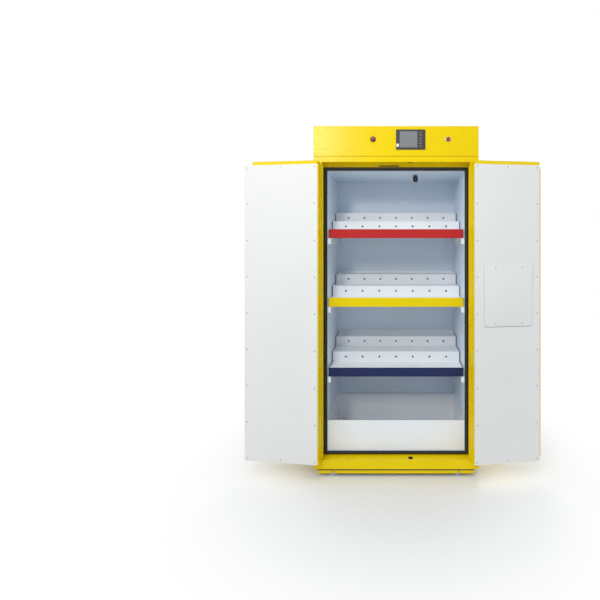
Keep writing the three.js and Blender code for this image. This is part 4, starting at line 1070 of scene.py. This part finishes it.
class CABINET_OT_lock(bpy.types.Operator):
    """Brushed lock plate with its pan, key barrels, screws, paddle and both keys"""

    bl_idname = "cabinet.lock"
    bl_label = "Lock"

    # The slot for the lock's tongue: its depths, and its heights from the plate's middle
    slot_near, slot_far, slot_low, slot_high = -10.4, -14.1, -28.1, 4.6
    # Each key: the CAD node, the place of its barrel, the depth of its plug, and whether it has a black grip
    key_places = {
        "nickel_key": ("left_key", KEY_OFFSET, 21.0, False),
        "black_key": ("right_key", -KEY_OFFSET, 10.7, True),
    }
    paddle_low, paddle_high = 1054.5, 1103.5

    def execute(self, context):
        place = on_skin(1, LOCK_REACH, LOCK_Z)
        outer, inner = rounded_rectangle(96.6, 96.6, 4, 6), rounded_rectangle(93, 93, 3, 6)
        front = plates([
            (94.2, 94.2, 3.6, 2.3), (215, 109, 5.5, 2.3), (216, 110, 6, 1.8), (216, 110, 6, 0.3),
        ], steps=6)
        plate = self.pan(inner, outer, [(inner, 1.8), *front, (outer, 0.3)], -20, -21.8, place)
        barrel = [
            (6.4, -8.9), (6.4, 3.6), (7.0, 4.0), (10.2, 4.0), (11, 3.3), (11, 2.9), (11.8, 2.6), (11.8, 2.3),
            (11, 2.3), (11, -8.9),
        ]
        barrels = [
            turned(barrel, on_skin(1, LOCK_REACH + offset, LOCK_Z), closed=True)
            for offset in (-KEY_OFFSET, KEY_OFFSET)
        ]
        make_piece(
            "lock_plate_form", together(plate, *barrels), "stainless", "right_door", ("lock_plate",),
            smooth_angle=30,
        )
        # A dark tray lines the pan behind the paddle; its dark grey is painted shade and a painted dark reflection
        # in the recess
        outer, inner = rounded_rectangle(92.8, 92.8, 2.9, 6), rounded_rectangle(91, 91, 2, 6)
        make_piece(
            "lock_pan_shade_tray", self.pan(inner, outer, [(inner, 1.2), (outer, 1.2)], -19, -19.9, place),
            "black_plastic", "right_door", smooth_angle=30,
            material=moulded_plastic("pan_shade_dark_grey_abs", to_linear("4A524E"), 0.35),
        )
        screws = [
            pan_head(on_skin(1, LOCK_REACH + a, LOCK_Z + b), 3.4, 2.3) for a in (-100, 100) for b in (-47, 47)
        ]
        make_piece("lock_plate_screws", together(*screws), "zinc_steel", "right_door")
        self.paddle()
        for name, (node, offset, plug_depth, gripped) in self.key_places.items():
            self.key(name, node, offset, plug_depth, gripped)
        for name, (_, offset, _, gripped) in self.key_places.items():
            self.spare_key(name, offset, gripped)
        return {"FINISHED"}

    def pan(self, inner, outer, front, floor, under, place):
        """An open box, its floor from floor to under, with a slot through its wall on the hinge's side.

        It is a tube in front of the slot, a band round the rest of the wall beside it, and a cup behind it.
        """
        start = len(outer) // 2
        outside = np.roll(outer, -start, axis=0)
        inside = np.roll(inner, -start, axis=0)[::-1]
        band = np.vstack([
            [outside[0, 0], self.slot_low], outside, [outside[0, 0], self.slot_high],
            [inside[0, 0], self.slot_high], inside, [inside[0, 0], self.slot_low],
        ])
        near, far = self.slot_near, self.slot_far
        return together(
            rings([(inner, near), *front, (outer, near)], place, closed=True),
            rings([(band, near), (band, far)], place),
            rings([(inner, floor), (inner, far), (outer, far), (outer, under)], place),
        )

    def paddle(self):
        """The flap: a plate with rounded ends and a grip along its lower edge, its rod and its lug."""
        size = self.paddle_high - self.paddle_low
        place = on_skin(1, LOCK_REACH, (self.paddle_low + self.paddle_high) / 2)
        flap = rings(plates([
            (83, size, 3, -3.5), (83, size, 3, -1.1), (81.8, size - 1.2, 2.4, -0.5),
        ], steps=6), place)
        grip = rings(plates(
            [(70, 8, 3.9, -0.6), (70, 8, 3.9, -0.2), (69, 7, 3.4, 0.1)], steps=6, centre=(0, 9 - size / 2),
        ), place)
        pivot_z = JOINTS["paddle_pull"]["pos_m"][2] / MM
        rod = turned(
            [(0, -48), (1.7, -48), (2, -47.7), (2, 47.7), (1.7, 48), (0, 48)],
            lambda a, b, along: door_points(1, LOCK_REACH + along, 2 + a, pivot_z + b), sides=16,
        )
        # The lug hooks over the lock's tongue: (depth, height above its lower edge)
        hook = np.array([
            (2, 0), (10.4, 0), (10.4, 10.7), (14.1, 10.7), (14.1, 0), (17.1, 0), (17.1, 15), (2, 15),
        ])
        lug = rings(
            [(hook, -40.5), (hook, -38.5)],
            lambda depth, up, along: door_points(1, LOCK_REACH + along, depth, self.paddle_low + up),
        )
        # The flap's metal is set darker than the plate's: a painted reflection of a dark room
        make_piece(
            "paddle_flap", together(flap, grip, rod, lug), "stainless", "paddle", ("paddle",),
            material=brushed_metal("satin_stainless_dark_reflection", to_linear("8E8C8A"), 0.42), smooth_angle=30,
        )

    def across_door(self, offset):
        """Sets a section over (depth out of the skin, height) down along the door, about a key's place."""
        return lambda depth, z, along: door_points(1, LOCK_REACH + offset + along, -depth, LOCK_Z + z)

    def key(self, name, node, offset, plug_depth, gripped):
        """A key in its plug: a turned plug, a neck and a flat bow with a hole, standing upright."""
        plug = turned(
            [(0, -plug_depth), (5.9, -plug_depth), (6, -plug_depth + 0.3), (6, 4.2), (5.6, 4.6), (0, 4.6)],
            on_skin(1, LOCK_REACH + offset, LOCK_Z),
        )
        across = self.across_door(offset)
        neck = rings(plates([(5, 8, 0.5, -1.2), (5, 8, 0.5, 1.2)], steps=6, centre=(6.5, 0)), across)
        bow = self.pierced((22, 24, 7.5), (18.5, 0), 0.97, (1.0, 1.25), 3.2, across)
        make_piece(
            f"{name}_form", together(plug, neck, bow), "key_nickel", node, (node,), smooth_angle=35,
        )
        if gripped:
            grip = self.pierced((17, 25, 7.8), (22, 0), 0.93, (2.2, 2.7), 3.4, across)
            make_piece(f"{name}_grip", grip, "black_plastic", node, smooth_angle=35)

    def pierced(self, size, centre, share, halves, hole_radius, place):
        """A flat bow with rounded rims and a hole.

        Its full outline spans the lesser half thickness and the outline times share the greater one.
        """
        outline = rounded_rectangle(*size, 6, centre)
        hole = circle(hole_radius, 24, centre=(24.0, 0))
        narrowed = (outline - centre) * share + centre
        edge, face = halves
        return rings([
            (outline, -edge), (outline, edge), (narrowed, face), (hole, face), (hole, -face),
            (narrowed, -face),
        ], place, closed=True)

    def spare_key(self, name, offset, gripped):
        """A wire ring through a key's bow, and from it a spare key that hangs edge-on to the door.

        The ring is (R + w cos b) (cos a, sin a) along the door and up, and w sin b out of it.
        """
        out, radius, wire, drop = 24.0, 13.0, 0.7, 2.5
        a = (np.arange(40) * 2 * np.pi / 40)[:, None]
        b = np.arange(10) * 2 * np.pi / 10
        swing = radius + wire * np.cos(b)
        ring = grid(door_points(
            1, LOCK_REACH + offset + swing * np.cos(a), -(out + wire * np.sin(b)) + 0 * a,
            LOCK_Z - drop - radius + swing * np.sin(a),
        ), closed_rows=True, closed_columns=True)
        across = self.across_door(offset)
        bottom = -drop - 2 * radius
        bow = rounded_rectangle(20, 22, 7.5, 6, (out, bottom - 7))
        hole = circle(3, 24, centre=(out, bottom - 2.3))
        head = rings([(bow, -1.2), (bow, 1.2), (hole, 1.2), (hole, -1.2)], across, closed=True)
        shank = rings(plates([(7, 31, 0.8, -1), (7, 31, 0.8, 1)], steps=3, centre=(out, bottom - 32)), across)
        make_piece(
            f"spare_{name}", together(ring, head, shank), "key_nickel", "right_door", smooth_angle=35,
        )
        if gripped:
            wide = rounded_rectangle(21, 23, 8, 6, (out, bottom - 7))
            cover = rings([(wide, -2.4), (wide, 2.4), (hole, 2.4), (hole, -2.4)], across, closed=True)
            make_piece(f"spare_{name}_grip", cover, "black_plastic", "right_door", rounding=0.4)


class CABINET_OT_lining_screws(bpy.types.Operator):
    """Pan-head screws round the doors' white linings"""

    bl_idname = "cabinet.lining_screws"
    bl_label = "Lining screws"

    def execute(self, context):
        sizes = context.scene.cabinet_sizes
        radius, margin = mm(sizes.screw_radius), mm(sizes.screw_margin)
        low, high = PANEL_LOW + margin, PANEL_HIGH - margin
        heights = np.linspace(low, high, round((high - low) / mm(sizes.screw_pitch)) + 1)
        for name, side in SIDES.items():
            start, end = PANEL_START + margin, PANEL_ENDS[name] - margin
            places = [(reach, z) for z in heights for reach in (start, end)]
            places += [((start + end) / 2, z) for z in (low, high)]
            heads = [pan_head(on_lining(side, reach, PANEL_BACK, z), radius, 0) for reach, z in places]
            make_piece(f"{name}_lining_screws", together(*heads), "zinc_steel", f"{name}_door")
        return {"FINISHED"}


class CABINET_OT_lock_cover(bpy.types.Operator):
    """White cover over the lock: rounded corners and edges, a dark gasket under it that paints the cover's shadow,
    and four screws
    """

    bl_idname = "cabinet.lock_cover"
    bl_label = "Lock cover"

    low, high, start, end = 832, 1163, 60, 328

    def execute(self, context):
        low, high, start, end = self.low, self.high, self.start, self.end
        place = on_lining(1, (start + end) / 2, PANEL_BACK + 0.3, (low + high) / 2)
        width, height = end - start, high - low
        body = rings(plates([
            (width, height, 12, 0), (width, height, 12, 0.7), (width - 0.8, height - 0.8, 11.6, 1.3),
            (width - 2.4, height - 2.4, 10.8, 1.5),
        ], steps=8), place)
        make_piece("lock_cover_form", body, "panel_white", "right_door", ("lock_cover",))
        # The gasket is a little wider than the cover and hangs below it, which draws its dark lower line: a
        # painted shadow under the raised cover
        shadow_gasket = plates([(width + 1.4, height + 1.4, 12.7, depth) for depth in (-0.25, 0.15)], 8, (0, -1.2))
        make_piece("lock_cover_gasket", rings(shadow_gasket, place), "seal_rubber", "right_door")
        heads = [
            pan_head(on_lining(1, reach, PANEL_BACK + 1.8, z), 4.0, 0)
            for reach in (start + 62, end - 58) for z in (low + 16, high - 16)
        ]
        make_piece("lock_cover_screws", together(*heads), "zinc_steel", "right_door")
        return {"FINISHED"}


class CABINET_OT_display(bpy.types.Operator):
    """Display: a bevelled bezel with a window, six membrane keys and a blank label"""

    bl_idname = "cabinet.display"
    bl_label = "Display"

    key_x, key_pitch = 54, 15
    label_centre = (-71, -31)

    def execute(self, context):
        low, high = span("display_screen")
        width, height = (high - low)[[0, 2]] + 0.6
        offset = (middle_of("display_screen") - middle_of("display_housing"))[[0, 2]]
        place = on_fascia("display_housing")
        window = plates([
            (width, height, 0.6, 1.0), (width, height, 0.6, 2.4), (width + 2.4, height + 2.4, 1.4, 3.0),
        ], centre=offset)
        case = plates([
            (157, 107, 2.6, 3.0), (159.4, 109.4, 3.6, 2.4), (160, 110, 4, 1.6), (160, 110, 4, 0.3),
            (148, 98, 2, 0.3), (148, 98, 2, -40),
        ])
        make_piece(
            "display_bezel", rings(window + case, place), "grey_plastic", replaces=("display_housing",),
            smooth_angle=20,
        )
        # Six soft keys down the right, each a low cushion
        cushion = [(13, 9, 2, 2.8), (13, 9, 2, 3.1), (11.6, 7.6, 1.6, 3.4)]
        keys = [
            rings(plates(cushion, centre=(self.key_x, z)), place)
            for z in (np.arange(6) - 2.5) * self.key_pitch + 1
        ]
        make_piece(
            "display_membrane_keys", together(*keys), "grey_plastic",
            material=moulded_plastic("grey_silicone_keys", to_linear("606163"), 0.55),
        )
        label = plates([(13, 17, 1, 2.9), (13, 17, 1, 3.15)], centre=self.label_centre)
        make_piece(
            "display_blank_label", rings(label, place), "panel_white",
            material=printed_card("white_vinyl_label", context.scene.cabinet_colours.label_white),
        )
        return {"FINISHED"}


class CABINET_OT_lamp(bpy.types.Operator):
    """Alarm lamp: a ribbed dome in a dark collar"""

    bl_idname = "cabinet.lamp"
    bl_label = "Alarm lamp"

    def execute(self, context):
        place = on_fascia("alarm_lamp")
        collar = turned([
            (10.5, -24), (10.5, 1.0), (11.5, 3.6), (13.6, 4.2), (14.6, 3.4), (15, 2.0), (15, 0.3), (11, 0.3),
            (11, -25), (8, -25), (8, -24),
        ], place, 40, closed=True)
        make_piece("lamp_collar", collar, "black_plastic", replaces=("alarm_lamp",))
        # Lens radius 12 cos(a)^0.6 over a quarter turn, its side ribbed twenty times
        turn = np.linspace(0, np.pi / 2, 12)
        radius = 12 * np.maximum(np.cos(turn), 0) ** 0.6
        height = 3 + 10 * np.sin(turn)
        swell = np.where(turn < 1.1, 0.03, 0.0)
        dome = [(circle(max(r, 1e-3), 80, 20, s), h) for r, h, s in zip(radius, height, swell)]
        make_piece("lamp_lens", rings([(circle(9, 80), 0.5), *dome], place), "lamp_red", smooth_angle=50)
        return {"FINISHED"}


class CABINET_OT_push_button(bpy.types.Operator):
    """Push button: a red cap with a dished face in a chromed bezel"""

    bl_idname = "cabinet.push_button"
    bl_label = "Push button"

    def execute(self, context):
        place = on_fascia("button_bezel")
        bezel = turned([
            (0.01, -20), (10.6, -20), (10.6, 2.6), (11.2, 3.6), (12.2, 4.0), (13.4, 3.7), (14.6, 2.2),
            (15, 1.0), (15, 0.3), (12.6, 0.3), (12.6, -22), (0.01, -22),
        ], place, 40)
        make_piece("button_bezel_ring", bezel, "chrome", replaces=("button_bezel",), smooth_angle=50)
        cap = turned([
            (0.01, -12), (9.6, -12), (10, -11.6), (10, 6.4), (9.7, 7.4), (8.9, 8.0), (8.0, 7.9), (5.5, 7.4),
            (2.5, 7.15), (0.01, 7.1),
        ], place, 40)
        make_piece("button_cap", cap, "button_red", "red_button", ("red_button",), smooth_angle=50)
        return {"FINISHED"}


class CABINET_OT_gas_sensor(bpy.types.Operator):
    """Gas sensor: a ribbed head with a vented cap that hangs from the ceiling of the inner box"""

    bl_idname = "cabinet.gas_sensor"
    bl_label = "Gas sensor"

    def execute(self, context):
        low, high = span("gas_sensor")
        centre = (low + high) / 2
        # Section: (radius, swell of its 24 ribs, distance below the ceiling)
        body = rings([(circle(radius, 72, 24, swell), -drop) for radius, swell, drop in (
            (9, 0, 0), (9, 0, 4.5), (12, 0, 5), (13, 0, 6), (13, 0, 9), (14.8, 0, 10), (15.2, 0.02, 11),
            (15.2, 0.02, 24), (14.6, 0, 25), (12.4, 0, 26), (12.4, 0, 27.5), (13.6, 0, 28.5), (13.6, 0, 35),
            (12.6, 0, 37), (10.5, 0, 37), (10, 0, 35.5), (0.01, 0, 35.5),
        )], facing_up(centre[0], centre[1], high[2]))
        make_piece("gas_sensor_head", body, "black_plastic", replaces=("gas_sensor",))
        return {"FINISHED"}


class CABINET_OT_running_gear(bpy.types.Operator):
    """Wheels with a rounded tread and a dished web, and axles with hexagon heads and collars"""

    bl_idname = "cabinet.running_gear"
    bl_label = "Wheels and axles"

    # Half of the wheel's section, as (radius, depth): hub face, dished web, rim and rounded shoulder
    bore, hub_half = 5.35, 10
    half_section = [
        (9.4, 10), (10, 9.4), (10.6, 6.2), (11.4, 5.6), (16.4, 5.6), (17.2, 6.2), (17.8, 9.4), (18.4, 9.9),
        (20.4, 9.9), (21.5, 9.0), (22, 7.6),
    ]
    collar_gap, collar, collar_radius, head = 0.6, 6.0, 9, 5.0

    def execute(self, context):
        section = [
            (self.bore, -self.hub_half), (self.bore, self.hub_half), *self.half_section,
            *((radius, -depth) for radius, depth in reversed(self.half_section)),
        ]
        for front in ("front", "back"):
            for name in SIDES:
                node = f"{front}_{name}_wheel"
                wheel = turned(section, facing_front(*middle_of(node)), 48, closed=True)
                make_piece(f"{node}_tyre", wheel, "wheel_nylon", node, (node,), smooth_angle=35)
        for name in SIDES:
            node = f"{name}_axle"
            make_piece(
                f"{name}_axle_bolt", self.axle(node, name), "zinc_steel", replaces=(node,), smooth_angle=35,
            )
        return {"FINISHED"}

    def axle(self, node, name):
        """A rod with a hexagon head at each end, and a collar in front of and behind each of its wheels."""
        low, high = span(node)
        centre = (low + high) / 2
        place = facing_front(centre[0], 0, centre[2])
        ends = (-low[1], -high[1])
        solids = [turned([
            (0.01, ends[0] - 0.5), (5, ends[0] - 0.5), (5, ends[1] + 0.5), (0.01, ends[1] + 0.5),
        ], place, sides=24)]
        for end, way in zip(ends, (1, -1)):
            solids.append(turned([
                (6.9, end), (8, end - way * 0.6), (8, end - way * self.head),
            ], place, sides=6))
        radius, width = self.collar_radius, self.collar
        for front in ("front", "back"):
            wheel_low, wheel_high = span(f"{front}_{name}_wheel")
            for face, way in ((-wheel_low[1], 1), (-wheel_high[1], -1)):
                start = face + way * self.collar_gap
                solids.append(turned([
                    (0.01, start), (radius - 0.6, start), (radius, start + way * 0.6),
                    (radius, start + way * (width - 0.6)), (radius - 0.6, start + way * width),
                    (0.01, start + way * width),
                ], place, sides=24))
        return together(*solids)


class CABINET_OT_rivets(bpy.types.Operator):
    """Rivets of the inner box, and the screws of the back panel and the housing"""

    bl_idname = "cabinet.rivets"
    bl_label = "Rivets and screws"

    liner_wall, liner_depth, liner_heights = 384, 16, (388, 778, 1165, 1555)
    back_low, back_high, back_rows, back_columns = 70, 1727, 9, (-220, 0, 220)
    housing_depths, housing_margin = (-190, 30, 250), 14

    def execute(self, context):
        wall = self.liner_wall
        heads = [
            dome_rivet(facing_side(-side, side * wall, REBATE_Y + self.liner_depth, z), 4.0)
            for side in SIDES.values() for z in self.liner_heights
        ]
        heads.append(dome_rivet(facing_side(-1, wall, 84, 345), 3.2))
        back = span("inner_liner")[1][1] - 1.2
        heads += [dome_rivet(facing_front(0, back, z), 3.2) for z in (1540, 330)]
        make_piece("liner_rivets", together(*heads), "zinc_steel")
        back_y = span("back_panel")[1][1]
        places = [
            (side * (HALF_WIDTH - 12), z)
            for side in SIDES.values() for z in np.linspace(self.back_low, self.back_high, self.back_rows)
        ]
        places += [(x, z) for x in self.back_columns for z in (self.back_low, self.back_high)]
        screws = [pan_head(facing_back(x, back_y, z), 4.4, 0) for x, z in places]
        make_piece("back_panel_screws", together(*screws), "zinc_steel")
        low, high = (corner[2] for corner in span("top_housing"))
        screws = [
            pan_head(facing_side(side, side * HALF_WIDTH, y, z), 4.0, 0)
            for side in SIDES.values() for y in self.housing_depths
            for z in (low + self.housing_margin, high - self.housing_margin)
        ]
        make_piece("housing_screws", together(*screws), "zinc_steel")
        return {"FINISHED"}


class CABINET_OT_trim(bpy.types.Operator):
    """Door contact strip, bolt cups, plinth bead, the pins of the mains inlet and the blank placards"""

    bl_idname = "cabinet.trim"
    bl_label = "Trim"

    contact_x, contact_z = -38.5, 1708.5
    tilt = math.pi / 4
    # Each placard: side, reach and height of its middle, width, height, colour, turn, lift and corner radius
    placards = {
        "left_red_placard": (-1, 215, 1345, 132, 132, "white", tilt, 0.05, 4),
        "left_red_placard_field": (-1, 215, 1345, 122, 122, "red", tilt, 0.32, 4),
        "left_white_placard": (-1, 210, 1105, 132, 132, "white", tilt, 0.05, 4),
        "left_corner_label": (-1, 52, 1652, 80, 56, "white", 0, 0.05, 4),
        "right_white_placard": (1, 170, 1560, 262, 312, "white", 0, 0.05, 4),
        "right_red_header": (1, 170, 1694, 250, 36, "red", 0, 0.32, 2),
        "right_red_strip": (1, 232, 1152, 198, 44, "red", 0, 0.05, 4),
    }
    card_thickness = 0.25

    def execute(self, context):
        strip = plates([(113, 5, 1.5, 0.1), (113, 5, 1.5, 3.0), (112, 4, 1.2, 3.5)])
        place = facing_front(self.contact_x, REBATE_Y, self.contact_z)
        make_piece("door_contact_strip", rings(strip, place), "black_plastic")
        self.inlet_pins()
        self.bolt_cups()
        self.plinth_bead()
        self.cards(context.scene.cabinet_colours)
        return {"FINISHED"}

    def bolt_cups(self):
        """Black cups in the header and the sill that the door bolts drop into."""
        bolt_x, centre_y = HINGE_X - BOLT_REACH, FRONT_Y + BOLT_DEPTH
        wide, deep, wall, lip, depth = 22.4, 20.4, 1.6, 0.4, 20
        inner = rounded_rectangle(wide - 2 * wall, deep - 2 * wall, 1.5, 4)
        outer = rounded_rectangle(wide, deep, 2, 4)
        levels = [
            (inner, depth), (inner, lip), (inner, -0.2), (outer, -0.2), (outer, lip), (outer, depth + 1.5),
        ]
        cups = [
            rings(levels, lambda a, b, out: np.stack([bolt_x + a, centre_y + b, z + way * out], axis=-1))
            for z, way in ((DOOR_TOP + 4.3, 1), (DOOR_BOTTOM - 1.8, -1))
        ]
        make_piece("bolt_cups", together(*cups), "black_plastic")

    def plinth_bead(self):
        """Dark bead of sponge rubber that closes the joint where the body stands on its plinth."""
        low, high = span("plinth")
        section = np.array([(-6.5, 0), (-6.5, -7), (-5, -9), (-2, -10), (0.4, -10), (0.4, 0)])
        half = high[0] - 1
        joint_z = span("sill_rail")[0][2] - 0.3
        place = lambda y, z, x: np.stack([x, low[1] + y, joint_z + z], axis=-1)
        make_piece("plinth_joint_bead", rings([(section, -half), (section, half)], place), "seal_rubber")

    def inlet_pins(self):
        """Three flat pins in the mains inlet, the earth pin set higher."""
        low, high = span("mains_inlet")
        centre = (low + high) / 2
        place = facing_back(centre[0], high[1], centre[2])
        pins = [
            rings(plates([(2, 4, 0.3, -17.5), (2, 4, 0.3, -3.5), (1.2, 3.2, 0.2, -2.8)], 3, (x, z)), place)
            for x, z in ((-7, -2), (0, 2), (7, -2))
        ]
        make_piece("mains_inlet_pins", together(*pins), "zinc_steel")

    def cards(self, colours):
        """Blank cards stuck to the painted skins, two of them stood on a corner.

        Each outline is turned about its middle by (a cos t - b sin t, a sin t + b cos t).
        """
        materials = {
            "red": printed_card("red_vinyl_card", colours.label_red),
            "white": printed_card("white_vinyl_card", colours.label_white),
        }
        for name, (side, reach, z, width, height, colour, turn, lift, radius) in self.placards.items():
            cos, sin = math.cos(turn), math.sin(turn)
            outline = rounded_rectangle(width, height, radius, 5) @ np.array([[cos, sin], [-sin, cos]])
            body = rings([(outline, lift), (outline, lift + self.card_thickness)], on_skin(side, reach, z))
            door = "left_door" if side < 0 else "right_door"
            make_piece(name, body, "panel_white", door, material=materials[colour])


class CABINET_PT_panel(bpy.types.Panel):
    """Sidebar panel that lists the settings and the pieces"""

    bl_idname = "CABINET_PT_panel"
    bl_label = "Safety cabinet"
    bl_space_type = "VIEW_3D"
    bl_region_type = "UI"
    bl_category = "Cabinet"

    def draw(self, context):
        layout = self.layout
        for group in (context.scene.cabinet_sizes, context.scene.cabinet_colours):
            for name in group.bl_rna.properties.keys():
                if name not in ("rna_type", "name"):
                    layout.prop(group, name)
        for operator in OPERATORS:
            layout.operator(operator.bl_idname)


OPERATORS = (
    CABINET_OT_stage, CABINET_OT_finishes, CABINET_OT_sheet_metal, CABINET_OT_hinges, CABINET_OT_door_seal,
    CABINET_OT_shelves, CABINET_OT_pulls, CABINET_OT_lock, CABINET_OT_lining_screws, CABINET_OT_lock_cover,
    CABINET_OT_display, CABINET_OT_lamp, CABINET_OT_push_button, CABINET_OT_gas_sensor,
    CABINET_OT_running_gear, CABINET_OT_rivets, CABINET_OT_trim,
)
CLASSES = (CabinetColours, CabinetSizes, *OPERATORS, CABINET_PT_panel)


def register():
    for item in CLASSES:
        bpy.utils.register_class(item)
    bpy.types.Scene.cabinet_colours = bpy.props.PointerProperty(type=CabinetColours)
    bpy.types.Scene.cabinet_sizes = bpy.props.PointerProperty(type=CabinetSizes)


def unregister():
    del bpy.types.Scene.cabinet_sizes
    del bpy.types.Scene.cabinet_colours
    for item in reversed(CLASSES):
        bpy.utils.unregister_class(item)


def main():
    """Registers the add-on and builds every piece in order."""
    register()
    for operator in OPERATORS:
        group, name = operator.bl_idname.split(".")
        getattr(getattr(bpy.ops, group), name)()


if __name__ == "__main__":
    main()
